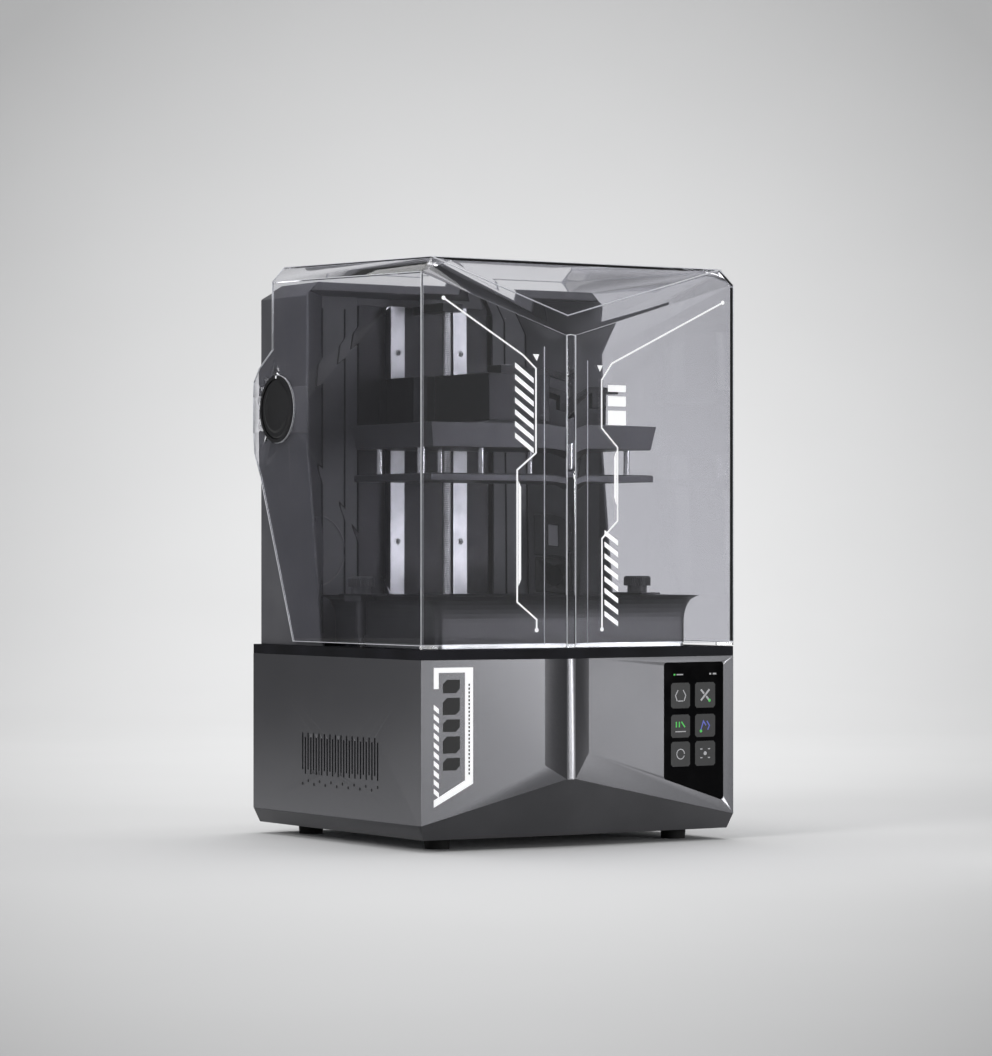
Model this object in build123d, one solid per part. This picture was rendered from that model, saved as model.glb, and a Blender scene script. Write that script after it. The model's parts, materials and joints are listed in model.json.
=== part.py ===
from build123d import *
import os
from math import sqrt

# Desktop resin printer. X is to the right, Y to the back, Z up, all in millimetres.
# The origin is on the ground, in the middle of the printer's footprint.

os.makedirs("parts", exist_ok=True)

# Overall sizes
body_width = 335.0
body_depth = 330.0
total_height = 531.6
base_top = 178.0
lid_gap = 4.0

# Walls and clearances
shell_wall = 3.0
lid_wall = 3.0
tower_wall = 3.0
sheet_steel = 1.6
running_gap = 0.05
sliding_gap = 0.3
lid_side_gap = 1.5

# Faceted front: an off-centre ridge that flares into the corners, low and high
corner_setback = 20.0
bevel_setback = 7.0
ridge_x = -23.3
ridge_half = 4.6
bevel_half = 23.4
skirt_edge = 23.5
skirt_bottom = 10.4
skirt_lean = 4.5
keel_setback = 4.5
keel_rise = 47.4
keel_reach = 26.0
corner_keel_setback = 3.0
ridge_foot = 61.7
bevel_foot_left = 74.4
bevel_foot_right = 84.5
underside_setback = 17.0
bottom_flange = 14.0
deck_thickness = 8.8

# Feet, in from the sides, the front and the back
foot_in_side = 40.0
foot_in_front = 60.0
foot_in_back = 40.0
foot_top_r = 12.0
foot_bottom_r = 11.0
foot_screw_r = 2.0

# Lid: drops are from the top of the printer, and the rear sizes are in from its back
roof_lean = 6.8
roof_edge_in = 12.5
roof_edge_drop = 14.0
roof_front_back = 22.5
ridge_head_drop = 73.6
crest_drop = 55.9
bevel_head_left_drop = 84.4
bevel_head_right_drop = 95.5
lid_back_in = 37.3
lid_rear_lean = 30.2
hinge_in = 47.2
hinge_drop = 133.4
hinge_pin_r = 6.0
hinge_pin_inside = 12.0
hinge_hub_r = 31.5
hinge_cap_r = 28.0
hinge_cap_height = 1.6
bumper_length = 18.0
bumper_height = 3.0

# Tower and Z axis
tower_in = 6.5
tower_headroom = 16.6
cheek_depth = 91.5
recess_depth = 61.0
cheek_width = 50.0
cheek_edge = 3.0
toe_reach = 27.0
knee_below_hinge = 30.2
tower_corner = 13.0
tower_back_flat = 20.5
tower_back_drop = 11.0
cover_thickness = 3.0
slot_gap = 4.0
beam_height = 8.0
rail_x = 33.3
rail_width = 15.0
rail_height = 10.0
rail_proud = 6.0
rail_lift = 7.0
rail_screw_pitch = 60.0
rail_screw_head_r = 3.2
rail_screw_seat = 4.0
rail_screw_sunk = 0.8
column_half = 70.0
column_depth = 20.0
column_wall = 4.0
screw_forward = 31.4
screw_r = 4.0
screw_drop = 15.0
bearing_half = 11.0
bearing_height = 8.0

# Z motor under the deck
motor_size = 42.0
motor_height = 40.0
motor_corner = 3.0
motor_shaft_r = 2.5
mount_thickness = 4.0
mount_drop = 32.0
mount_edge = 6.0
standoff_x = 25.0
standoff_r = 3.0
coupling_r = 9.5
coupling_length = 26.0
coupling_room = 1.5
shaft_above = 12.0
shaft_below = 11.0

# Build platform, as it stands at rest
plate_below_tower = 185.5
plate_room_x = 14.0
plate_room_y = 25.0
plate_thickness = 6.5
plate_edge = 1.2
platform_back = 9.0
post_length = 23.4
post_r = 2.75
post_edge_x = 9.0
post_edge_y = 31.0
post_inner_x = 49.0
tray_height = 22.1
tray_over_x = 2.0
tray_over_y = 3.5
tray_taper = 4.0
tray_wall = 3.0
joint_half_x = 36.0
joint_half_y = 34.0
arm_lift = 4.0
arm_half = 33.0
arm_height = 44.0
arm_nose = 25.0
arm_block_depth = 58.0
arm_chamfer = 8.0
carriage_length = 44.0
carriage_width = 32.0
carriage_proud = 6.0
carriage_wrap = 7.0
nut_r = 7.0
nut_flange_r = 11.0
nut_flange = 4.0
nut_length = 18.0
bracket_length = 79.0
bracket_lift = 27.5
bracket_thickness = 6.0
bracket_nose = 22.0
tab_length = 16.0
tab_drop = 14.0
tab_places = (14.0, 52.0)
lever_length = 62.0
lever_half = 12.0
lever_front = 8.0
lever_back = 6.0
lever_height = 8.0
lever_step = 1.0
lever_tip_r = 4.0
lever_pin_r = 4.0
lever_pin_height = 9.0

# Vat, between the lid's walls and in front of the lead screw
vat_height = 47.0
vat_front_room = 12.0
vat_back_room = 3.6
vat_wall = 4.0
vat_floor = 4.0
vat_corner_r = 6.0
vat_flare = 14.0
vat_flare_height = 24.0
flare_steps = 6
film_edge_x = 10.0
film_edge_y = 13.0
film_grip = 8.0
film_thickness = 0.3
film_ring_height = 4.0
ear_gap = 5.5
ear_tip = 9.0
ear_half = 15.0
ear_thickness = 5.0
ear_boss = 36.0
ear_boss_r = 4.75
clamp_half = 25.0
clamp_inside = 12.0
knob_out = 16.0
knob_back = 11.5
knob_cap_r = 12.5
knob_cap_height = 9.2
knob_cap_edge = 1.8
knob_neck_r = 9.0
knob_lift = 6.4
knob_bolt_r = 3.0
insert_r = 5.0

# Screen and light under the vat
window_edge = 12.0
lcd_thickness = 3.0
lcd_margin = 5.0
engine_wall = 2.5
sink_gap = 14.4
lens_thickness = 4.0
led_rows = 5
led_columns = 9
led_size = 3.5
board_thickness = 1.6
sink_height = 22.0
sink_plate = 4.0
sink_fins = 12
fin_half = 1.0

# Touch screen on the right front panel
touch_width = 70.0
touch_low = 36.0
touch_below_deck = 14.0
touch_edge = 11.8
touch_glass_depth = 2.0
touch_corner_r = 3.0
touch_slant = 22.0
touch_lip = 4.0
touch_module_gap = 0.5

# Air slots, fan, boards and rear ports
vent_count = 28
vent_low = 60.0
vent_high = 98.0
vent_half_span = 69.0
vent_slot_width = 2.4
vent_stagger = 4.0
fan_x = 60.0
fan_y = -40.0
fan_size = 80.0
fan_depth = 20.0
fan_blades = 7
fan_blade_tilt = 25.0
fan_hub_r = 14.0
fan_pin_r = 2.0
fan_wall = 2.0
fan_blade_gap = 1.5
board_in_side = 17.5
board_in_back = 115.0
board_side = 100.0
board_lift = 10.0
board_hole_in = 5.0
supply_side_room = 13.5
supply_in_back = 125.0
supply_width = 84.0
supply_depth = 110.0
supply_height = 34.0
inlet_x = -105.0
socket_z = 62.0
socket_width = 27.0
socket_height = 20.0
socket_depth = 22.0
socket_wall = 2.0
socket_floor = 5.0
pin_pitch = 7.0
pin_half = 1.0
pin_half_height = 2.0
switch_gap = 32.0
switch_width = 13.0
switch_height = 19.0
switch_depth = 16.0
switch_wall = 1.5
switch_well = 10.0
rocker_sunk = 2.0
rocker_gap = 0.5
usb_x = 105.0
usb_width = 14.0
usb_height = 7.0
usb_depth = 15.0
usb_wall = 0.8
grille_half = 36.0
grille_bars = 11

# Camera, lamp and filter on the tower's cheeks
camera_above_deck = 65.0
camera_reach = 0.62
camera_half = 20.0
camera_height = 34.0
camera_depth = 8.0
camera_lens_r = 10.0
camera_iris_r = 5.0
camera_seat = 3.0
lamp_above_camera = 39.0
lamp_height = 40.0
lamp_depth = 10.0
lamp_window_width = 11.0
lamp_window_height = 20.0
lamp_seat = 7.0
filter_above_deck = 86.0
filter_reach = 0.5
filter_r = 34.0
filter_depth = 3.0

# Places that follow from the sizes above, outside first
half_width = body_width / 2
front_y = -body_depth / 2
back_y = body_depth / 2
corner_y = front_y + corner_setback
bevel_y = front_y + bevel_setback
ridge_left = ridge_x - ridge_half
ridge_right = ridge_x + ridge_half
bevel_left = ridge_x - bevel_half
bevel_right = ridge_x + bevel_half
keel_y = front_y + keel_reach
foot_x = half_width - foot_in_side
foot_front_y = front_y + foot_in_front
foot_back_y = back_y - foot_in_back
deck_low = base_top - deck_thickness
plate_low = skirt_bottom + sheet_steel
inside_floor = skirt_bottom + 2 * sheet_steel
touch_left = half_width - touch_edge - touch_width
touch_high = base_top - touch_below_deck
lid_bottom = base_top + lid_gap
roof_front = total_height - roof_lean
lid_inner_x = half_width - lid_wall
lid_back_y = back_y - lid_back_in
hinge_y = back_y - hinge_in
hinge_z = total_height - hinge_drop

tower_x = lid_inner_x - lid_side_gap
tower_back = back_y - tower_in
tower_front = tower_back - cheek_depth
tower_top = total_height - tower_headroom
tower_knee_z = hinge_z - knee_below_hinge
tower_toe_y = tower_front - toe_reach
panel_y = tower_front + recess_depth
cheek_in = tower_x - cheek_width
slot_half = column_half + slot_gap
rail_front_y = panel_y - rail_proud
column_y = rail_front_y + rail_height
column_top = tower_top - 2 * beam_height
screw_y = rail_front_y - screw_forward
screw_top = tower_top - screw_drop
carriage_face = rail_front_y - carriage_proud

knob_x = lid_inner_x - ear_gap - ear_tip
vat_width = 2 * (knob_x - knob_out)
vat_front = corner_y + lid_wall + vat_front_room + vat_flare
vat_back = screw_y - screw_r - vat_back_room - vat_flare
vat_depth = vat_back - vat_front
vat_y = (vat_front + vat_back) / 2
vat_top = base_top + vat_height
ring_top = base_top + film_ring_height
film_width = vat_width - 2 * film_edge_x
film_depth = vat_depth - 2 * film_edge_y
window_width = film_width - 2 * window_edge
window_depth = film_depth - 2 * window_edge
knob_y = vat_y + knob_back

platform_y = vat_y + platform_back
plate_z = tower_top - plate_below_tower
plate_width = vat_width - 2 * plate_room_x
plate_depth = vat_depth - 2 * plate_room_y
post_x = plate_width / 2 - post_edge_x
post_row = plate_depth / 2 - post_edge_y
tray_low = plate_z + plate_thickness + post_length
tray_top = tray_low + tray_height
tray_top_width = plate_width + 2 * tray_over_x
tray_top_depth = plate_depth + 2 * tray_over_y
arm_low = tray_top + arm_lift
arm_top = arm_low + arm_height
arm_front = carriage_face - arm_block_depth
bracket_reach = arm_half + bracket_length
bracket_z = arm_low + bracket_lift
heart = Vector(0, 0, (base_top + total_height) / 2)
made = {}


def save(name, *solids):
    """Write one named piece, or one group of like pieces."""
    shape = solids[0] if len(solids) == 1 else Compound(children=list(solids))
    made[name] = shape
    export_step(shape, f"parts/{name}.step")


def block(x0, x1, y0, y1, z0, z1):
    corner = Pos((x0 + x1) / 2, (y0 + y1) / 2, (z0 + z1) / 2)
    return corner * Box(x1 - x0, y1 - y0, z1 - z0)


def rod(x, y, z0, z1, r):
    return Pos(x, y, (z0 + z1) / 2) * Cylinder(r, z1 - z0)


def rod_x(x0, x1, y, z, r):
    return Pos((x0 + x1) / 2, y, z) * Rot(0, 90, 0) * Cylinder(r, abs(x1 - x0))


def rod_y(x, y0, y1, z, r):
    return Pos(x, (y0 + y1) / 2, z) * Rot(90, 0, 0) * Cylinder(r, y1 - y0)


def plan(points, z0, z1, inset=0.0):
    """An upright prism on a plan outline, shrunk by inset."""
    face = make_face(Polyline(*points, close=True))
    if inset:
        face = offset(face, -inset, kind=Kind.INTERSECTION)
    return Pos(0, 0, z0) * extrude(face, z1 - z0, dir=(0, 0, 1))


def profile(points, x0, x1):
    """A prism along X on an outline of (y, z) points."""
    face = make_face(Polyline(*[(x0, y, z) for y, z in points], close=True))
    return extrude(face, x1 - x0, dir=(1, 0, 0))


def elevation(points, y0, y1):
    """A prism along Y on an outline of (x, z) points."""
    face = make_face(Polyline(*[(x, y0, z) for x, z in points], close=True))
    return extrude(face, y1 - y0, dir=(0, 1, 0))


def shave(body, a, b, c, inset=0.0):
    """Cut the body off at the plane through a, b and c, keeping the middle of the printer."""
    normal = (b - a).cross(c - a).normalized()
    if normal.dot(heart - a) > 0:
        normal = normal * -1
    return split(body, bisect_by=Plane(origin=a - normal * inset, z_dir=normal), keep=Keep.BOTTOM)


def ridged_plan():
    """Flat front panels with the ridge standing out between them."""
    return [
        (-half_width, corner_y),
        (bevel_left, bevel_y),
        (ridge_left, front_y),
        (ridge_right, front_y),
        (bevel_right, bevel_y),
        (half_width, corner_y),
        (half_width, back_y),
        (-half_width, back_y),
    ]


def flared_plan():
    """The front drawn straight from the ridge to the corners."""
    return [
        (-half_width, corner_y),
        (ridge_left, front_y),
        (ridge_right, front_y),
        (half_width, corner_y),
        (half_width, back_y),
        (-half_width, back_y),
    ]


def both_corners(z):
    return Vector(-half_width, corner_y, z), Vector(half_width, corner_y, z)


def base_block(z0, z1, inset=0.0):
    """The base's outer form: panels and ridge, flaring into the lower corners."""
    left, right = both_corners(skirt_edge)
    flare = plan(flared_plan(), z0, z1, inset)
    flare = shave(flare, left, Vector(bevel_left, bevel_y, bevel_foot_left),
                  Vector(ridge_left, front_y, ridge_foot), inset)
    flare = shave(flare, right, Vector(bevel_right, bevel_y, bevel_foot_right),
                  Vector(ridge_right, front_y, ridge_foot), inset)
    return plan(ridged_plan(), z0, z1, inset) + flare


def keel_wedge(y_limit):
    """The space under the base shell's lower V, from the front back to y_limit."""
    outline = [
        (-half_width - 1, skirt_edge - 1),
        (-half_width - 1, skirt_edge),
        (-half_width, skirt_edge),
        (ridge_left, ridge_foot),
        (ridge_right, ridge_foot),
        (half_width, skirt_edge),
        (half_width + 1, skirt_edge),
        (half_width + 1, skirt_edge - 1),
    ]
    return elevation(outline, front_y - 1, y_limit)


def skirt_block(inset=0.0):
    """The dark skirt's outer form: leaning sides and a keel under the lower V."""
    body = plan(flared_plan(), skirt_bottom, ridge_foot, inset)
    left, right = both_corners(skirt_edge)
    low_left = Vector(-half_width + skirt_lean, corner_y + corner_keel_setback, skirt_bottom)
    low_right = Vector(half_width - skirt_lean, corner_y + corner_keel_setback, skirt_bottom)
    keel = Vector(ridge_x, front_y + keel_setback, keel_rise)
    heel = Vector(ridge_x, front_y + underside_setback, skirt_bottom)
    body = shave(body, left, Vector(ridge_left, front_y, ridge_foot), keel, inset)
    body = shave(body, right, Vector(ridge_right, front_y, ridge_foot), keel, inset)
    body = shave(body, low_left, keel, heel, inset)
    body = shave(body, low_right, keel, heel, inset)
    for side in (-1, 1):
        top = Vector(side * half_width, 0, skirt_edge)
        low = Vector(side * (half_width - skirt_lean), 0, skirt_bottom)
        body = shave(body, top, low, top + Vector(0, 1, 0), inset)
    top = Vector(0, back_y, skirt_edge)
    low = Vector(0, back_y - skirt_lean, skirt_bottom)
    return shave(body, top, low, top + Vector(1, 0, 0), inset)


def lid_block(inset=0.0):
    """The lid's outer form: the base's front turned over, with a bevelled sloping roof."""
    corner_z = roof_front - roof_edge_drop
    left, right = both_corners(corner_z)
    head_left = Vector(ridge_left, front_y, total_height - ridge_head_drop)
    head_right = Vector(ridge_right, front_y, total_height - ridge_head_drop)
    low = lid_bottom - (1 if inset else 0)
    rear = back_y + (20 if inset else 0)
    outlines = []
    for outline in (ridged_plan(), flared_plan()):
        outlines.append([(x, rear if y == back_y else y) for x, y in outline])
    flare = plan(outlines[1], low, total_height + 10, inset)
    flare = shave(flare, left, head_left,
                  Vector(bevel_left, bevel_y, total_height - bevel_head_left_drop), inset)
    flare = shave(flare, right, head_right,
                  Vector(bevel_right, bevel_y, total_height - bevel_head_right_drop), inset)
    body = plan(outlines[0], low, total_height + 10, inset) + flare
    crest = Vector(ridge_x, front_y + keel_setback, total_height - crest_drop)
    roof_left = Vector(-half_width + roof_edge_in, front_y + roof_front_back, roof_front)
    roof_right = Vector(half_width - roof_edge_in, front_y + roof_front_back, roof_front)
    roof_rear = Vector(half_width - roof_edge_in, lid_back_y, total_height)
    body = shave(body, left, head_left, crest, inset)
    body = shave(body, right, head_right, crest, inset)
    body = shave(body, roof_left, roof_right, crest, inset)
    body = shave(body, roof_left, roof_right, roof_rear, inset)
    for side in (-1, 1):
        edge_front = Vector(side * half_width, corner_y, corner_z)
        edge_rear = Vector(side * half_width, lid_back_y, corner_z + roof_lean)
        roof_point = Vector(side * (half_width - roof_edge_in), lid_back_y, total_height)
        body = shave(body, edge_front, edge_rear, roof_point, inset)
    return body


def make_base():
    shell = base_block(skirt_edge, deck_low)
    shell -= base_block(skirt_edge - 1, deck_low + 1, shell_wall)
    shell -= keel_wedge(keel_y)
    shell -= touch_pocket()
    shell -= side_slots()
    shell -= rear_cutouts()
    save("base_shell", shell)

    skirt = skirt_block()
    skirt &= block(-half_width, half_width, front_y, back_y, skirt_bottom, skirt_edge) + keel_wedge(keel_y)
    hollow = skirt_block(shell_wall)
    skirt -= block(-half_width, half_width, keel_y, back_y, skirt_bottom + sheet_steel, ridge_foot) & hollow
    opening = half_width - skirt_lean - bottom_flange
    skirt -= block(-opening, opening, keel_y + bottom_flange, back_y - skirt_lean - bottom_flange,
                   skirt_bottom, skirt_edge)
    for x, y in foot_places():
        skirt -= rod(x, y, skirt_bottom, skirt_edge, foot_top_r)
    save("base_skirt", skirt)

    reach = half_width - skirt_lean - 2 * shell_wall
    plate = block(-reach, reach, keel_y + shell_wall, back_y - skirt_lean - 2 * shell_wall,
                  plate_low, plate_low + sheet_steel)
    for x, y in foot_places():
        plate -= rod(x, y, plate_low, plate_low + sheet_steel, foot_screw_r)
    plate -= rod(fan_x, fan_y, plate_low, inside_floor, fan_size / 2 - fan_wall - 1)
    board_x, board_y = board_corner()
    for x in (board_x + board_hole_in, board_x + board_side - board_hole_in):
        for y in (board_y + board_hole_in, board_y + board_side - board_hole_in):
            plate += rod(x, y, inside_floor, inside_floor + board_lift, standoff_r)
    save("bottom_plate", plate)


def foot_places():
    return [(x, y) for x in (-foot_x, foot_x) for y in (foot_front_y, foot_back_y)]


def board_corner():
    return -half_width + board_in_side, back_y - board_in_back


def make_feet():
    top = plate_low
    head_r = 2 * foot_screw_r
    feet = []
    screws = []
    for x, y in foot_places():
        foot = Pos(x, y, top / 2) * Cone(foot_bottom_r, foot_top_r, top)
        foot -= rod(x, y, 0, top / 2, head_r + 1)
        foot -= rod(x, y, top / 2, top, foot_screw_r)
        feet.append(foot)
        screw = rod(x, y, top / 2 - foot_screw_r, top / 2, head_r)
        screws.append(screw + rod(x, y, top / 2, top + 3 * sheet_steel, foot_screw_r))
    save("feet", *feet)
    save("foot_screws", *screws)


def touch_frame():
    """The touch screen's place: X along the right front panel, Z out of it."""
    run = Vector(half_width - bevel_right, corner_y - bevel_y, 0).normalized()
    start = Vector(bevel_right, bevel_y, 0)
    reach = (touch_left + touch_width / 2 - bevel_right) / run.X
    middle = start + run * reach + Vector(0, 0, (touch_low + touch_high) / 2)
    return Plane(origin=middle, x_dir=run, z_dir=run.cross(Vector(0, 0, 1)))


def touch_outline(grow=0.0):
    """The screen's outline: upright, with its lower edge slanting down to the right."""
    half = touch_width / 2
    height = (touch_high - touch_low) / 2
    points = [(-half, -height + touch_slant), (half, -height), (half, height), (-half, height)]
    face = make_face(Polyline(*points, close=True))
    face = fillet(face.vertices(), touch_corner_r)
    if grow:
        face = offset(face, grow)
    return face


def touch_pocket():
    frame = touch_frame()
    pocket = extrude(frame.offset(-touch_glass_depth) * touch_outline(), 2 * touch_glass_depth, dir=frame.z_dir)
    behind = extrude(frame.offset(-3 * shell_wall) * touch_outline(-touch_lip), 3 * shell_wall, dir=frame.z_dir)
    return pocket + behind


def make_touch_screen():
    frame = touch_frame()
    glass = extrude(frame.offset(-touch_glass_depth) * touch_outline(), touch_glass_depth, dir=frame.z_dir)
    save("touch_screen_glass", glass)
    back = touch_outline(-touch_lip - touch_module_gap)
    module = extrude(frame.offset(-3 * shell_wall) * back, 3 * shell_wall - touch_glass_depth, dir=frame.z_dir)
    save("touch_screen_module", module)


def side_slots():
    """A row of upright air slots through both side walls, each second one shifted."""
    pitch = 2 * vent_half_span / (vent_count - 1)
    slots = []
    for number in range(vent_count):
        y = -vent_half_span + number * pitch
        shift = vent_stagger if number % 2 else 0.0
        slots.append(block(-half_width - 1, half_width + 1, y - vent_slot_width / 2,
                           y + vent_slot_width / 2, vent_low + shift, vent_high + shift - vent_stagger))
    return slots


def rear_cutouts():
    """Openings in the rear wall for the inlet, the switch, the USB port and the exhaust."""
    y0 = back_y - shell_wall - 1
    y1 = back_y + 1
    cuts = [block(inlet_x - socket_width / 2, inlet_x + socket_width / 2, y0, y1,
                  socket_z - socket_height / 2, socket_z + socket_height / 2)]
    x = inlet_x + switch_gap
    cuts.append(block(x - switch_width / 2, x + switch_width / 2, y0, y1,
                      socket_z - switch_height / 2, socket_z + switch_height / 2))
    cuts.append(block(usb_x - usb_width / 2, usb_x + usb_width / 2, y0, y1,
                      socket_z - usb_height / 2, socket_z + usb_height / 2))
    pitch = 2 * grille_half / (grille_bars - 1)
    for number in range(grille_bars):
        z = base_top / 2 - grille_half + number * pitch
        cuts.append(block(-grille_half, grille_half, y0, y1, z - pitch / 4, z + pitch / 4))
    return cuts


def make_rear_ports():
    y1 = back_y
    low = socket_z - socket_height / 2
    high = socket_z + socket_height / 2
    x = inlet_x
    half = socket_width / 2
    inner = half - socket_wall
    inlet = block(x - half, x + half, y1 - socket_depth, y1, low, high)
    floor = y1 - socket_depth + socket_floor
    inlet -= block(x - inner, x + inner, floor, y1, low + socket_wall, high - socket_wall)
    for step in (-1, 0, 1):
        pin_x = x + pin_pitch * step
        pin_z = socket_z + (pin_half_height if step == 0 else -pin_half_height)
        inlet += block(pin_x - pin_half, pin_x + pin_half, floor - 1, y1 - socket_floor,
                       pin_z - pin_half_height, pin_z + pin_half_height)
    save("power_inlet", inlet)

    x = inlet_x + switch_gap
    half_w = switch_width / 2
    half_h = switch_height / 2
    housing = block(x - half_w, x + half_w, y1 - switch_depth, y1, socket_z - half_h, socket_z + half_h)
    half_w -= switch_wall
    half_h -= switch_wall
    housing -= block(x - half_w, x + half_w, y1 - switch_well, y1, socket_z - half_h, socket_z + half_h)
    save("switch_housing", housing)
    half_w -= rocker_gap
    half_h -= 2 * rocker_gap
    face = y1 - rocker_sunk
    side = face - 2.5
    rocker = profile([(face, socket_z - half_h), (face, socket_z + half_h), (side, socket_z + half_h),
                      (y1 - switch_well + rocker_sunk, socket_z), (side, socket_z - half_h)],
                     x - half_w, x + half_w)
    save("power_rocker", rocker)

    half_w = usb_width / 2
    half_h = usb_height / 2
    port = block(usb_x - half_w, usb_x + half_w, y1 - usb_depth, y1, socket_z - half_h, socket_z + half_h)
    half_w -= usb_wall
    half_h -= usb_wall
    port -= block(usb_x - half_w, usb_x + half_w, y1 - 0.8 * usb_depth, y1,
                  socket_z - half_h, socket_z + half_h)
    save("usb_port", port)


def knob_places():
    return [(-knob_x, knob_y), (knob_x, knob_y)]


def make_deck():
    low = deck_low
    deck = plan(ridged_plan(), low, base_top)
    wide = window_width / 2
    deep = window_depth / 2
    deck -= block(-wide, wide, vat_y - deep, vat_y + deep, low, base_top)
    deck -= block(-wide - lcd_margin, wide + lcd_margin, vat_y - deep - lcd_margin, vat_y + deep + lcd_margin,
                  base_top - lcd_thickness, base_top)
    for x, y in knob_places():
        deck -= rod(x, y, low, base_top, insert_r)
    deck -= rod(0, screw_y, low, base_top, coupling_r + coupling_room)
    save("deck_plate", deck)

    inserts = []
    for x, y in knob_places():
        inserts.append(rod(x, y, low, base_top, insert_r) - rod(x, y, low, base_top, knob_bolt_r + running_gap))
    save("deck_inserts", *inserts)

    panel = block(-wide - lcd_margin, wide + lcd_margin, vat_y - deep - lcd_margin, vat_y + deep + lcd_margin,
                  base_top - lcd_thickness, base_top)
    save("lcd_panel", panel)


def make_light_engine():
    top = deck_low
    engine_low = inside_floor + fan_depth + sink_gap + sink_height
    wide = window_width / 2
    deep = window_depth / 2
    housing = block(-wide, wide, vat_y - deep, vat_y + deep, engine_low, top)
    housing -= block(-wide + engine_wall, wide - engine_wall, vat_y - deep + engine_wall,
                     vat_y + deep - engine_wall, engine_low + engine_wall, top)
    save("light_housing", housing)
    inner_x = wide - engine_wall
    inner_y = deep - engine_wall
    save("light_lens", block(-inner_x, inner_x, vat_y - inner_y, vat_y + inner_y, top - lens_thickness, top))
    board_low = engine_low + engine_wall
    board = block(-inner_x, inner_x, vat_y - inner_y, vat_y + inner_y, board_low, board_low + board_thickness)
    save("led_board", board)
    leds = []
    for column in range(led_columns):
        for row in range(led_rows):
            x = (column - (led_columns - 1) / 2) * 2 * inner_x / led_columns
            y = vat_y + (row - (led_rows - 1) / 2) * 2 * inner_y / led_rows
            leds.append(block(x - led_size / 2, x + led_size / 2, y - led_size / 2, y + led_size / 2,
                              board_low + board_thickness, board_low + board_thickness + led_size / 2))
    save("leds", *leds)
    sink_low = engine_low - sink_plate
    sink = block(-wide / 2, wide / 2, vat_y - deep / 2, vat_y + deep / 2, sink_low, engine_low)
    for number in range(sink_fins):
        x = -wide / 2 + (number + 0.5) * wide / sink_fins
        sink += block(x - fin_half, x + fin_half, vat_y - deep / 2, vat_y + deep / 2,
                      engine_low - sink_height, sink_low)
    save("heat_sink", sink)


def make_fan():
    low = inside_floor
    top = low + fan_depth
    half = fan_size / 2
    strut = 3.0
    frame = block(fan_x - half, fan_x + half, fan_y - half, fan_y + half, low, top)
    frame -= rod(fan_x, fan_y, low, top, half - fan_wall)
    frame += block(fan_x - half + 1, fan_x + half - 1, fan_y - fan_wall, fan_y + fan_wall, top - strut, top)
    frame += rod(fan_x, fan_y, top - strut, top, fan_hub_r)
    frame += rod(fan_x, fan_y, top - 3 * strut, top - strut, fan_pin_r)
    save("fan_frame", frame)
    hub_low = low + fan_wall
    hub_top = top - strut - 1
    blade_r = half - fan_wall - fan_blade_gap
    rotor = rod(fan_x, fan_y, hub_low, hub_top, fan_hub_r)
    blade = block(fan_hub_r - 1, blade_r, -1, 1, 0, fan_depth - 7)
    for number in range(fan_blades):
        turned = Rot(0, 0, number * 360 / fan_blades) * (Rot(fan_blade_tilt, 0, 0) * blade)
        rotor += Pos(fan_x, fan_y, low + 3.5) * turned
    rotor &= rod(fan_x, fan_y, hub_low, hub_top, blade_r)
    rotor -= rod(fan_x, fan_y, hub_top - 6, hub_top, fan_pin_r + running_gap)
    save("fan_rotor", rotor)


def make_electronics():
    floor = inside_floor
    low = floor + board_lift
    x, y = board_corner()
    save("main_board", block(x, x + board_side, y, y + board_side, low, low + board_thickness))
    x = foot_x - supply_side_room - supply_width
    y = back_y - supply_in_back
    save("power_supply", block(x, x + supply_width, y, y + supply_depth, floor, floor + supply_height))


def make_z_drive():
    mount_top = deck_low - mount_drop
    mount_low = mount_top - mount_thickness
    reach = standoff_x + mount_edge
    mount = block(-reach, reach, screw_y - reach, screw_y + reach, mount_low, mount_top)
    mount -= rod(0, screw_y, mount_low, mount_top, coupling_r + coupling_room)
    for x in (-standoff_x, standoff_x):
        for y in (-standoff_x, standoff_x):
            mount += rod(x, screw_y + y, mount_top, deck_low, standoff_r)
    save("motor_mount", mount)
    half = motor_size / 2
    motor = block(-half, half, screw_y - half, screw_y + half, mount_low - motor_height, mount_low)
    motor = chamfer(motor.edges().filter_by(Axis.Z), motor_corner)
    motor -= rod(0, screw_y, mount_low - shaft_below - 1, mount_low, motor_shaft_r + running_gap)
    save("z_motor", motor)
    shaft_top = mount_top + shaft_above
    shaft = rod(0, screw_y, mount_low - shaft_below, shaft_top, motor_shaft_r)
    save("motor_shaft", shaft)
    low = mount_top - 2
    coupling = rod(0, screw_y, low, low + coupling_length, coupling_r)
    coupling -= rod(0, screw_y, low, shaft_top, motor_shaft_r)
    coupling -= rod(0, screw_y, shaft_top, low + coupling_length, screw_r)
    save("shaft_coupling", coupling)
    save("lead_screw", rod(0, screw_y, shaft_top, screw_top, screw_r))


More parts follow.
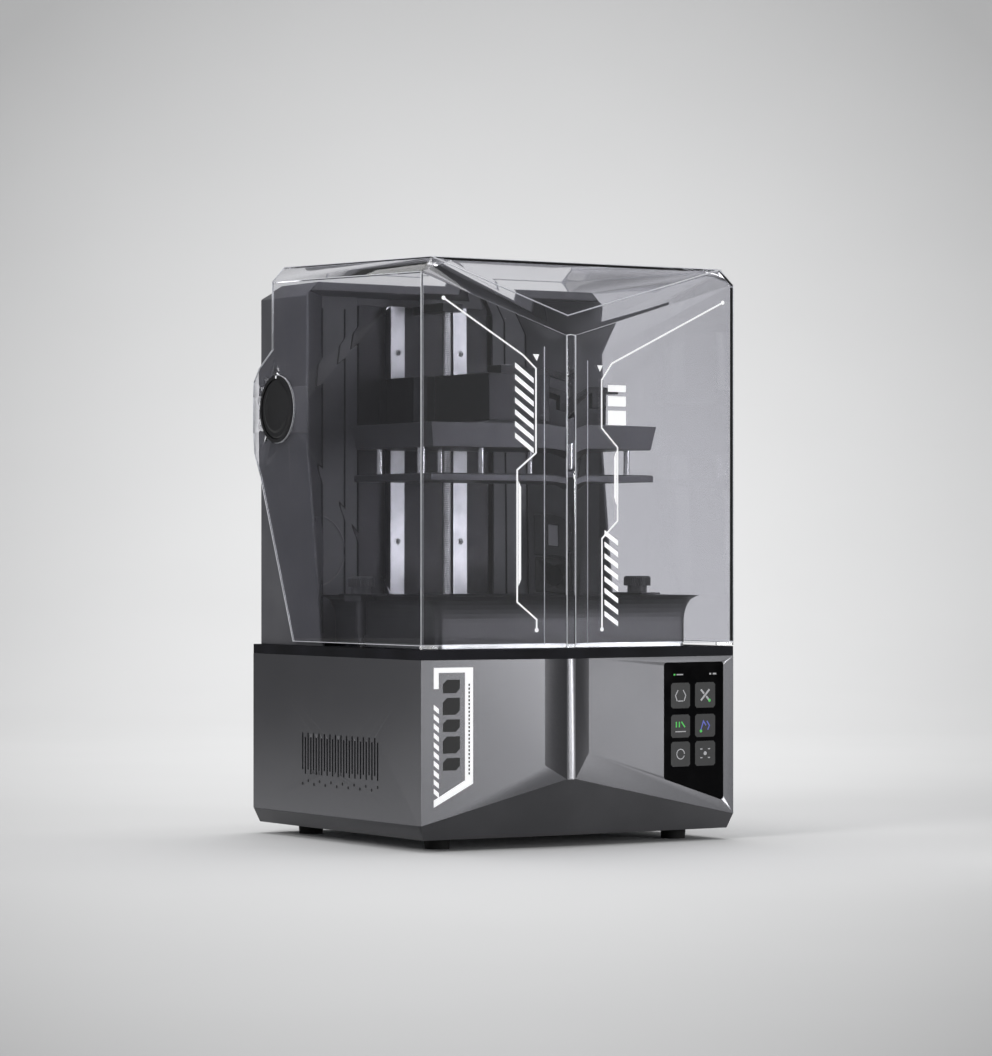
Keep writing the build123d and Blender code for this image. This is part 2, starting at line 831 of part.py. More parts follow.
def make_column():
    column = block(-column_half, column_half, column_y, column_y + column_depth, base_top, column_top)
    inner = column_half - column_wall
    column -= block(-inner, inner, column_y + column_wall, column_y + column_depth, base_top, column_top)
    save("z_column", column)
    rail_low = base_top + rail_lift
    rail_high = column_top
    screw_z = rail_low + rail_screw_pitch / 2
    heads = []
    levels = []
    while screw_z < rail_high - rail_screw_head_r:
        levels.append(screw_z)
        screw_z += rail_screw_pitch
    for name, x in (("rail_left", -rail_x), ("rail_right", rail_x)):
        rail = block(x - rail_width / 2, x + rail_width / 2, rail_front_y, column_y, rail_low, rail_high)
        for z in levels:
            seat = rail_front_y + rail_screw_seat
            rail -= rod_y(x, rail_front_y, seat, z, rail_screw_head_r)
            heads.append(rod_y(x, rail_front_y + rail_screw_sunk, seat, z, rail_screw_head_r))
        save(name, rail)
    save("rail_screws", *heads)
    bearing_low = screw_top - bearing_height
    bearing = block(-bearing_half, bearing_half, screw_y - bearing_half, column_y, bearing_low, screw_top)
    bearing -= rod(0, screw_y, bearing_low, screw_top, screw_r + running_gap)
    save("top_bearing", bearing)


def tower_side():
    return [
        (tower_toe_y, base_top),
        (tower_front, tower_knee_z),
        (tower_front, tower_top),
        (tower_back - tower_back_flat, tower_top),
        (tower_back, tower_top - tower_back_drop),
        (tower_back, base_top),
    ]


def tower_recess(inset):
    """The open front of the tower, between its slanting cheeks."""
    edge = tower_x - cheek_edge
    return [
        (-edge - inset, tower_toe_y - 2),
        (-edge - inset, tower_front),
        (-cheek_in - inset, panel_y + inset),
        (cheek_in + inset, panel_y + inset),
        (edge + inset, tower_front),
        (edge + inset, tower_toe_y - 2),
    ]


def make_tower():
    beam_low = tower_top - beam_height
    outer = profile(tower_side(), -tower_x, tower_x)
    for side in (-1, 1):
        edge = Vector(side * tower_x, 0, tower_top - tower_corner)
        roof = Vector(side * (tower_x - tower_corner), 0, tower_top)
        outer = shave(outer, edge, roof, edge + Vector(0, 1, 0))
    front = plan(tower_recess(0), base_top, beam_low)
    tower = outer - front
    core_x = tower_x - tower_wall
    cavity = block(-core_x, core_x, tower_front + tower_wall, tower_back, base_top,
                   beam_low - tower_corner)
    cavity -= plan(tower_recess(tower_wall), base_top, beam_low)
    tower -= cavity
    tower -= block(-slot_half, slot_half, panel_y, column_y, base_top, beam_low)
    tower -= block(-slot_half, slot_half, column_y, column_y + column_depth, base_top, column_top)
    for x in (-tower_x, tower_x):
        tower -= rod_x(x - tower_wall - 1, x + tower_wall + 1, hinge_y, hinge_z, hinge_pin_r)
    save("tower_housing", tower)
    cover = block(-core_x, core_x, tower_back - cover_thickness, tower_back, base_top, beam_low - tower_corner)
    save("tower_rear_cover", cover)


def cheek_frame(side, z, reach):
    """A place on a cheek's face, reach of the way from its outer edge; Z points into the chamber."""
    edge = tower_x - cheek_edge
    x = side * (edge - (edge - cheek_in) * reach)
    y = tower_front + (panel_y - tower_front) * reach
    run = Vector(side * (edge - cheek_in), -(panel_y - tower_front), 0).normalized()
    out = Vector(-side * (panel_y - tower_front), -(edge - cheek_in), 0).normalized()
    return Plane(origin=(x, y, z), x_dir=run, z_dir=out)


def make_chamber_fittings():
    camera_z = base_top + camera_above_deck
    frame = cheek_frame(1, camera_z, camera_reach)
    camera = extrude(frame * Rectangle(2 * camera_half, camera_height), camera_depth, dir=frame.z_dir)
    seat = frame.offset(camera_seat)
    camera -= extrude(seat * Circle(camera_lens_r), camera_depth - camera_seat, dir=frame.z_dir)
    save("camera_housing", camera)
    lens = extrude(seat * Circle(camera_lens_r), camera_depth - camera_seat - 1, dir=frame.z_dir)
    lens -= extrude(frame.offset(camera_seat + 2) * Circle(camera_iris_r), camera_depth, dir=frame.z_dir)
    save("camera_lens", lens)
    frame = cheek_frame(1, camera_z + lamp_above_camera, camera_reach)
    lamp = extrude(frame * Rectangle(2 * camera_half, lamp_height), lamp_depth, dir=frame.z_dir)
    pane = frame.offset(lamp_seat) * Rectangle(lamp_window_width, lamp_window_height)
    lamp -= extrude(pane, lamp_depth - lamp_seat, dir=frame.z_dir)
    save("lamp_housing", lamp)
    save("lamp_window", extrude(pane, 0.8 * (lamp_depth - lamp_seat), dir=frame.z_dir))
    frame = cheek_frame(-1, base_top + filter_above_deck, filter_reach)
    save("filter_cover", extrude(frame * Circle(filter_r), filter_depth, dir=frame.z_dir))


def make_carriages():
    low = arm_low
    carriages = []
    for x in (-rail_x, rail_x):
        half = carriage_width / 2
        body = block(x - half, x + half, carriage_face, rail_front_y + carriage_wrap,
                     low, low + carriage_length)
        gap = rail_width / 2 + sliding_gap
        body -= block(x - gap, x + gap, rail_front_y - sliding_gap, rail_front_y + carriage_wrap + 1,
                      low, low + carriage_length)
        carriages.append(body)
    save("rail_carriages", *carriages)


def make_arm():
    arm = block(-rail_x - carriage_width / 2, rail_x + carriage_width / 2, arm_front, carriage_face,
                arm_low, arm_top)
    arm = chamfer(arm.edges().filter_by(Axis.Z).group_by(Axis.Y)[0], arm_chamfer)
    arm += block(-arm_half, arm_half, platform_y - arm_nose, arm_front, arm_low, arm_top)
    arm -= rod(0, screw_y, arm_low, arm_low + nut_length, nut_r)
    arm -= rod(0, screw_y, arm_low, arm_top, screw_r + 2)
    save("z_arm", arm)
    nut = rod(0, screw_y, arm_low, arm_low + nut_length, nut_r)
    nut += rod(0, screw_y, arm_low - nut_flange, arm_low, nut_flange_r)
    nut -= rod(0, screw_y, arm_low - nut_flange, arm_low + nut_length, screw_r + running_gap)
    save("z_nut", nut)
    front = platform_y - bracket_nose
    bracket = block(arm_half, bracket_reach, front, arm_front, bracket_z, bracket_z + bracket_thickness)
    for place in tab_places:
        tab_x = bracket_reach - place
        bracket += block(tab_x - tab_length, tab_x, front, front + bracket_thickness,
                         bracket_z - tab_drop, bracket_z)
    save("arm_bracket", bracket)


def make_platform():
    lower = Rectangle(tray_top_width - 2 * tray_taper, tray_top_depth - 2 * tray_taper)
    upper = Rectangle(tray_top_width, tray_top_depth)
    tray = loft([Pos(0, platform_y, tray_low) * lower, Pos(0, platform_y, tray_top) * upper])
    wall = tray_wall
    tray -= block(-tray_top_width / 2 + 2 * wall + tray_taper, tray_top_width / 2 - 2 * wall - tray_taper,
                  platform_y - tray_top_depth / 2 + 2 * wall + tray_taper,
                  platform_y + tray_top_depth / 2 - 2 * wall - tray_taper, tray_low + wall, tray_top)
    tray += block(-joint_half_x, joint_half_x, platform_y - joint_half_y, platform_y + joint_half_y,
                  tray_low, tray_top)
    tray += block(-arm_half, arm_half, platform_y - arm_nose, platform_y + arm_nose, tray_top, arm_low)
    save("platform_tray", tray)
    posts = []
    for x in (-post_x, -post_inner_x, post_inner_x, post_x):
        for y in (platform_y - post_row, platform_y + post_row):
            posts.append(rod(x, y, tray_low - post_length, tray_low, post_r))
    save("platform_posts", *posts)
    plate = block(-plate_width / 2, plate_width / 2, platform_y - plate_depth / 2, platform_y + plate_depth / 2,
                  plate_z, plate_z + plate_thickness)
    plate = chamfer(plate.edges().group_by(Axis.Z)[-1], plate_edge)
    save("build_plate", plate)


def make_lever():
    """The quick-release lever on top of the arm, turning about an upright pin."""
    top = arm_top
    low = top + sliding_gap
    pin = rod(0, platform_y, top, top + lever_pin_height, lever_pin_r)
    save("lever_pin", pin)
    lever = block(-lever_half, lever_half, platform_y - lever_half, platform_y + lever_half,
                  low, top + lever_height)
    lever += block(-lever_back, lever_length, platform_y - lever_front, platform_y + lever_back,
                   low, top + lever_height - lever_step)
    lever = fillet(lever.edges().filter_by(Axis.Z).group_by(Axis.X)[-1], lever_tip_r)
    lever -= rod(0, platform_y, top, top + lever_pin_height, lever_pin_r + running_gap)
    save("clamp_lever", lever)


def vat_section(grow, z):
    return Pos(0, vat_y, z) * RectangleRounded(vat_width + 2 * grow, vat_depth + 2 * grow, vat_corner_r + grow)


def vat_form(shrink, z0, z1):
    """The vat's form: an upright wall that curves outwards into the rim, drawn in by shrink."""
    start = vat_top - vat_flare_height
    body = extrude(vat_section(-shrink, z0), start - z0, dir=(0, 0, 1))
    sections = []
    for step in range(flare_steps + 1):
        share = step / flare_steps
        grow = vat_flare * (1 - sqrt(1 - share ** 2))
        sections.append(vat_section(grow - shrink, start + (z1 - start) * share))
    for lower, upper in zip(sections, sections[1:]):
        body += loft([lower, upper])
    return body


def make_vat():
    vat = vat_form(0, ring_top, vat_top)
    vat -= vat_form(vat_wall, ring_top + vat_floor, vat_top)
    window = Pos(0, vat_y, ring_top) * RectangleRounded(film_width, film_depth, vat_corner_r / 2)
    vat -= extrude(window, vat_floor, dir=(0, 0, 1))
    for x, y in knob_places():
        side = 1 if x > 0 else -1
        edge = side * (vat_width / 2 + vat_flare / 2)
        tip = x + side * ear_tip
        vat += block(min(edge, tip), max(edge, tip), y - ear_half, y + ear_half,
                     vat_top - ear_thickness, vat_top)
        vat += rod(x, y, vat_top - ear_boss, vat_top, ear_boss_r)
        vat -= rod(x, y, vat_top - ear_boss, vat_top, knob_bolt_r + running_gap)
    save("vat_body", vat)

    ring = extrude(vat_section(0, base_top), film_ring_height, dir=(0, 0, 1))
    window = Pos(0, vat_y, base_top) * RectangleRounded(film_width, film_depth, vat_corner_r / 2)
    ring -= extrude(window, film_ring_height, dir=(0, 0, 1))
    film = Rectangle(film_width + 2 * film_grip, film_depth + 2 * film_grip)
    film = extrude(Pos(0, vat_y, ring_top - film_thickness) * film, film_thickness, dir=(0, 0, 1))
    save("film_frame", ring - film)
    save("release_film", film)

    plates = []
    for x, y in knob_places():
        side = 1 if x > 0 else -1
        low = min(x - side * clamp_inside, x + side * ear_tip)
        high = max(x - side * clamp_inside, x + side * ear_tip)
        clamp = block(low, high, y - clamp_half, y + clamp_half, vat_top, vat_top + sheet_steel)
        plates.append(clamp - rod(x, y, vat_top, vat_top + sheet_steel, knob_bolt_r + running_gap))
    save("vat_clamp_plates", *plates)


def make_knobs():
    seat = vat_top + sheet_steel
    for name, place in zip(("vat_knob_left", "vat_knob_right"), knob_places()):
        x, y = place
        knob = rod(x, y, seat, seat + knob_lift, knob_neck_r)
        cap = rod(x, y, seat + knob_lift, seat + knob_lift + knob_cap_height, knob_cap_r)
        cap = chamfer(cap.edges().group_by(Axis.Z)[-1], knob_cap_edge)
        cap = cap + knob
        cap += rod(x, y, deck_low + 1, seat, knob_bolt_r)
        save(name, cap)


def hinge_side_outline():
    """The lid's side seen from the left: cut back below the hinge, with an ear round it."""
    lean_y = hinge_y - lid_rear_lean
    return [
        (front_y - 1, lid_bottom),
        (lean_y, lid_bottom),
        (hinge_y + 33.2, hinge_z - 62.2),
        (hinge_y + 44.7, hinge_z - 41.2),
        (back_y, hinge_z - 21.2),
        (back_y, hinge_z + 12.8),
        (back_y - 1, hinge_z + 26.8),
        (back_y - 11, hinge_z + 38.8),
        (lid_back_y, hinge_z + 55.8),
        (lid_back_y, total_height + 10),
        (front_y - 1, total_height + 10),
    ]


def make_lid():
    lid = lid_block() - lid_block(lid_wall)
    lid &= profile(hinge_side_outline(), -half_width - 1, half_width + 1)
    lid -= rod_x(-half_width - 1, half_width + 1, hinge_y, hinge_z, hinge_hub_r)
    save("lid", lid)


def make_hinges():
    hubs = []
    pins = []
    caps = []
    for side in (-1, 1):
        face = side * half_width
        inner = side * (tower_x + lid_side_gap)
        hub = rod_x(inner, face, hinge_y, hinge_z, hinge_hub_r)
        rim = rod_x(face, face + side * hinge_cap_height, hinge_y, hinge_z, hinge_hub_r)
        rim -= rod_x(face, face + side * hinge_cap_height, hinge_y, hinge_z, hinge_cap_r + sliding_gap)
        hub = hub + rim
        hub -= rod_x(inner, face, hinge_y, hinge_z, hinge_pin_r + running_gap)
        hubs.append(hub)
        start = side * (tower_x - tower_wall - hinge_pin_inside)
        pins.append(rod_x(start, face + side * sliding_gap, hinge_y, hinge_z, hinge_pin_r))
        caps.append(rod_x(face + side * sliding_gap, face + side * hinge_cap_height, hinge_y, hinge_z,
                          hinge_cap_r))
    save("hinge_hubs", *hubs)
    save("hinge_pins", *pins)
    save("hinge_caps", *caps)


def make_lid_trim():
    """Small clear bumpers under the lid's front corners and its ridge."""
    low = lid_bottom - bumper_height
    blocks = []
    for side in (-1, 1):
        outer = side * half_width
        inner = side * (half_width - bumper_length)
        piece = block(min(outer, inner), max(outer, inner), corner_y, corner_y + lid_wall, low, lid_bottom)
        piece &= plan(ridged_plan(), low, lid_bottom)
        blocks.append(piece)
    blocks.append(block(ridge_left, ridge_right, front_y, front_y + lid_wall, low, lid_bottom))
    save("lid_bumpers", *blocks)


make_base()
make_feet()
make_touch_screen()
make_rear_ports()
make_deck()
make_light_engine()
make_fan()
make_electronics()
make_z_drive()
make_column()
make_tower()
make_chamber_fittings()
make_carriages()
make_arm()
make_platform()
make_lever()
make_vat()
make_knobs()
make_lid()
make_hinges()
make_lid_trim()
print(len(made), "pieces written")
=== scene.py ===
import json
from math import cos, hypot, pi, radians, sin

import bmesh
import bpy
from mathutils import Matrix, Vector


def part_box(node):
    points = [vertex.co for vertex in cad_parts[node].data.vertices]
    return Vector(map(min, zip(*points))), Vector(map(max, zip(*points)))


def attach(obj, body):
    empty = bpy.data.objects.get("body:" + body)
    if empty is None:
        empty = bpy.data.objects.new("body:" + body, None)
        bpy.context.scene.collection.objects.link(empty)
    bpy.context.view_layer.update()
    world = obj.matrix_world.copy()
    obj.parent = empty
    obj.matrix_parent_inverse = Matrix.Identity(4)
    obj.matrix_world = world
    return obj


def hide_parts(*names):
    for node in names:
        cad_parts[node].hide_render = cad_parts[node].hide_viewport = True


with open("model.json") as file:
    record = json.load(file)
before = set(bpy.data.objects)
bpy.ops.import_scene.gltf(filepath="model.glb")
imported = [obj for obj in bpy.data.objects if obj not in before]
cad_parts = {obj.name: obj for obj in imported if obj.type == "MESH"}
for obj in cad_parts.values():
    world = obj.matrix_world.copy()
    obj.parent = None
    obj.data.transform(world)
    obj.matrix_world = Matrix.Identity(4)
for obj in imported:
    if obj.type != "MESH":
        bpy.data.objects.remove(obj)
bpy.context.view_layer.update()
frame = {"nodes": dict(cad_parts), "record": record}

mm = 0.001
nodeBody = {}
for bodyName, members in frame["record"]["behaviour"]["bodies"].items():
    for member in members:
        nodeBody[member] = bodyName


def linear(hexColour):
    # an sRGB hex colour as the linear values that sockets take
    channels = [int(hexColour[i:i + 2], 16) / 255 for i in (1, 3, 5)]
    bent = [c / 12.92 if c <= 0.04045 else ((c + 0.055) / 1.055) ** 2.4 for c in channels]
    return (*bent, 1.0)


def addNode(tree, kind, settings=None, links=None):
    # settings name either a property or an input, by its name or number
    node = tree.nodes.new(kind)
    for key, value in (settings or {}).items():
        if isinstance(key, int) or key in node.inputs:
            node.inputs[key].default_value = value
        else:
            setattr(node, key, value)
    for key, source in (links or {}).items():
        tree.links.new(source, node.inputs[key])
    return node


def startMaterial(name, surface):
    material = bpy.data.materials.new(name)
    material.use_nodes = True
    tree = material.node_tree
    tree.nodes.clear()
    output = addNode(tree, "ShaderNodeOutputMaterial")
    shader = addNode(tree, "ShaderNodeBsdfPrincipled", surface)
    tree.links.new(shader.outputs[0], output.inputs[0])
    place = addNode(tree, "ShaderNodeTexCoord").outputs["Object"]
    return material, tree, shader, place


def twoTone(tree, factor, first, second):
    return addNode(tree, "ShaderNodeMix", {"data_type": "RGBA", 6: linear(first), 7: linear(second)},
                   {0: factor}).outputs[2]


def spread(tree, value, low, high, fromLow=0.3, fromHigh=0.7):
    return addNode(tree, "ShaderNodeMapRange",
                   {"From Min": fromLow, "From Max": fromHigh, "To Min": low, "To Max": high},
                   {"Value": value}).outputs[0]


def metallicPaint(name, settings):
    # aluminium-flake paint, sprayed: bright flakes under a satin coat, with faint orange peel;
    # flakes and peel are drawn coarser than life so that they show
    material, tree, shader, place = startMaterial(name, {
        "Metallic": settings["metallic"], "IOR": 1.5, "Coat Weight": 0.2, "Coat Roughness": 0.3})
    flakes = addNode(tree, "ShaderNodeTexVoronoi", {"Scale": 1 / (settings["flakeMm"] * mm)},
                     {"Vector": place})
    drift = addNode(tree, "ShaderNodeTexNoise", {"Scale": 1 / (settings["driftMm"] * mm), "Detail": 3.0},
                    {"Vector": place})
    sparkle = spread(tree, flakes.outputs["Color"], 0.0, 1.0, 0.0, 1.0)
    colour = twoTone(tree, sparkle, settings["dark"], settings["light"])
    tree.links.new(colour, shader.inputs["Base Color"])
    tree.links.new(spread(tree, drift.outputs["Fac"], settings["rough"] - 0.01, settings["rough"] + 0.01),
                   shader.inputs["Roughness"])
    peel = addNode(tree, "ShaderNodeTexNoise", {"Scale": 1 / (settings["peelMm"] * mm)}, {"Vector": place})
    bump = addNode(tree, "ShaderNodeBump", {"Strength": 0.01, "Distance": 0.04 * mm},
                   {"Height": peel.outputs["Fac"]})
    tree.links.new(bump.outputs[0], shader.inputs["Normal"])
    return material


def mouldedPlastic(name, settings):
    # injection-moulded ABS: a spark-eroded grain from the mould, drawn coarser than life so that it shows
    material, tree, shader, place = startMaterial(name, {
        "IOR": 1.5, "Specular IOR Level": settings.get("specular", 0.5)})
    grain = addNode(tree, "ShaderNodeTexNoise",
                    {"Scale": 1 / (settings["grainMm"] * mm), "Detail": 2.0, "Roughness": 0.6},
                    {"Vector": place})
    cloud = addNode(tree, "ShaderNodeTexNoise", {"Scale": 1 / (45 * mm), "Detail": 4.0}, {"Vector": place})
    tree.links.new(twoTone(tree, spread(tree, cloud.outputs["Fac"], 0.0, 1.0), settings["dark"],
                           settings["light"]), shader.inputs["Base Color"])
    tree.links.new(spread(tree, grain.outputs["Fac"], settings["rough"] - 0.05, settings["rough"] + 0.07),
                   shader.inputs["Roughness"])
    bump = addNode(tree, "ShaderNodeBump", {"Strength": settings.get("bump", 0.2), "Distance": 0.06 * mm},
                   {"Height": grain.outputs["Fac"]})
    tree.links.new(bump.outputs[0], shader.inputs["Normal"])
    return material


def machinedMetal(name, settings):
    # ground, milled or brushed metal: fine streaks along one axis, from the wheel or the cutter
    material, tree, shader, place = startMaterial(name, {"Metallic": settings.get("metallic", 1.0)})
    stretch = addNode(tree, "ShaderNodeMapping", {"Scale": settings["streak"]}, {"Vector": place})
    streaks = addNode(tree, "ShaderNodeTexNoise",
                      {"Scale": 1 / (settings["lineMm"] * mm), "Detail": 3.0, "Roughness": 0.65},
                      {"Vector": stretch.outputs[0]})
    stain = addNode(tree, "ShaderNodeTexNoise", {"Scale": 1 / (25 * mm), "Detail": 3.0}, {"Vector": place})
    tree.links.new(twoTone(tree, spread(tree, stain.outputs["Fac"], 0.0, 1.0), settings["dark"],
                           settings["light"]), shader.inputs["Base Color"])
    tree.links.new(spread(tree, streaks.outputs["Fac"], settings["rough"] - 0.06, settings["rough"] + 0.08),
                   shader.inputs["Roughness"])
    bump = addNode(tree, "ShaderNodeBump", {"Strength": settings.get("bump", 0.15), "Distance": 0.03 * mm},
                   {"Height": streaks.outputs["Fac"]})
    tree.links.new(bump.outputs[0], shader.inputs["Normal"])
    return material


def anodisedAluminium(name, settings):
    # bead-blasted, then dyed in the anodising bath: even, dull, with a slight satin glow
    material, tree, shader, place = startMaterial(name, {"Metallic": settings.get("metallic", 0.8)})
    blast = addNode(tree, "ShaderNodeTexNoise", {"Scale": 1 / (0.5 * mm), "Detail": 2.0}, {"Vector": place})
    cloud = addNode(tree, "ShaderNodeTexNoise", {"Scale": 1 / (60 * mm), "Detail": 2.0}, {"Vector": place})
    tree.links.new(twoTone(tree, spread(tree, cloud.outputs["Fac"], 0.0, 1.0), settings["dark"],
                           settings["light"]), shader.inputs["Base Color"])
    tree.links.new(spread(tree, blast.outputs["Fac"], settings["rough"] - 0.05, settings["rough"] + 0.06),
                   shader.inputs["Roughness"])
    bump = addNode(tree, "ShaderNodeBump", {"Strength": 0.06, "Distance": 0.03 * mm},
                   {"Height": blast.outputs["Fac"]})
    tree.links.new(bump.outputs[0], shader.inputs["Normal"])
    return material


def smokedAcrylic(name, settings):
    # moulded PMMA with a grey dye: clear and glossy, with a trace of haze; it lets light through
    material, tree, shader, place = startMaterial(name, {
        "Base Color": linear(settings["tint"]), "Transmission Weight": 1.0, "IOR": settings["ior"]})
    haze = addNode(tree, "ShaderNodeTexNoise", {"Scale": 1 / (30 * mm), "Detail": 3.0}, {"Vector": place})
    tree.links.new(spread(tree, haze.outputs["Fac"], settings["rough"] * 0.5, settings["rough"]),
                   shader.inputs["Roughness"])
    ripple = addNode(tree, "ShaderNodeTexNoise", {"Scale": 1 / (80 * mm)}, {"Vector": place})
    bump = addNode(tree, "ShaderNodeBump", {"Strength": 0.03, "Distance": 0.1 * mm},
                   {"Height": ripple.outputs["Fac"]})
    tree.links.new(bump.outputs[0], shader.inputs["Normal"])
    path = addNode(tree, "ShaderNodeLightPath")
    through = addNode(tree, "ShaderNodeBsdfTransparent", {"Color": linear(settings["shadow"])})
    mix = addNode(tree, "ShaderNodeMixShader", {}, {0: path.outputs["Is Shadow Ray"]})
    tree.links.new(shader.outputs[0], mix.inputs[1])
    tree.links.new(through.outputs[0], mix.inputs[2])
    output = next(n for n in tree.nodes if n.type == "OUTPUT_MATERIAL")
    tree.links.new(mix.outputs[0], output.inputs[0])
    return material


def darkGlass(name, settings):
    # toughened cover glass over a black mask: mirror-smooth, with finger haze
    material, tree, shader, place = startMaterial(name, {
        "Base Color": linear(settings["colour"]), "IOR": 1.45, "Specular IOR Level": 0.04})
    smear = addNode(tree, "ShaderNodeTexNoise", {"Scale": 1 / (14 * mm), "Detail": 5.0}, {"Vector": place})
    tree.links.new(spread(tree, smear.outputs["Fac"], 0.08, 0.2), shader.inputs["Roughness"])
    return material


def printedInk(name, settings):
    # screen-printed or pad-printed ink: flat, with slight thin spots
    material, tree, shader, place = startMaterial(name, {"IOR": 1.45})
    thin = addNode(tree, "ShaderNodeTexNoise", {"Scale": 1 / (1.2 * mm), "Detail": 3.0}, {"Vector": place})
    tree.links.new(twoTone(tree, spread(tree, thin.outputs["Fac"], 0.0, 1.0), settings["dark"],
                           settings["light"]), shader.inputs["Base Color"])
    tree.links.new(spread(tree, thin.outputs["Fac"], 0.4, 0.55), shader.inputs["Roughness"])
    # glow makes the ink give off light: on the screen's symbols that is the display's own light, on the other
    # inks it is painted glow
    if settings.get("glow"):
        shader.inputs["Emission Color"].default_value = linear(settings["light"])
        shader.inputs["Emission Strength"].default_value = settings["glow"]
    return material


def softRubber(name, settings):
    # moulded nitrile rubber: dull black with a dusty bloom
    material, tree, shader, place = startMaterial(name, {"IOR": 1.52, "Specular IOR Level": 0.3})
    bloom = addNode(tree, "ShaderNodeTexNoise", {"Scale": 1 / (6 * mm), "Detail": 5.0}, {"Vector": place})
    tree.links.new(twoTone(tree, spread(tree, bloom.outputs["Fac"], 0.0, 1.0), settings["dark"],
                           settings["light"]), shader.inputs["Base Color"])
    tree.links.new(spread(tree, bloom.outputs["Fac"], 0.65, 0.85), shader.inputs["Roughness"])
    return material


def circuitBoard(name, settings):
    # glass-fibre board with green solder mask over square copper tracks
    material, tree, shader, place = startMaterial(name, {"IOR": 1.5, "Coat Weight": 0.2})
    tracks = addNode(tree, "ShaderNodeTexBrick",
                     {"Scale": 1 / (9 * mm), "Mortar Size": 0.03, "Color1": linear(settings["dark"]),
                      "Color2": linear(settings["dark"]), "Mortar": linear(settings["light"])},
                     {"Vector": place})
    tree.links.new(tracks.outputs["Color"], shader.inputs["Base Color"])
    mask = addNode(tree, "ShaderNodeTexNoise", {"Scale": 1 / (3 * mm)}, {"Vector": place})
    tree.links.new(spread(tree, mask.outputs["Fac"], 0.25, 0.4), shader.inputs["Roughness"])
    return material


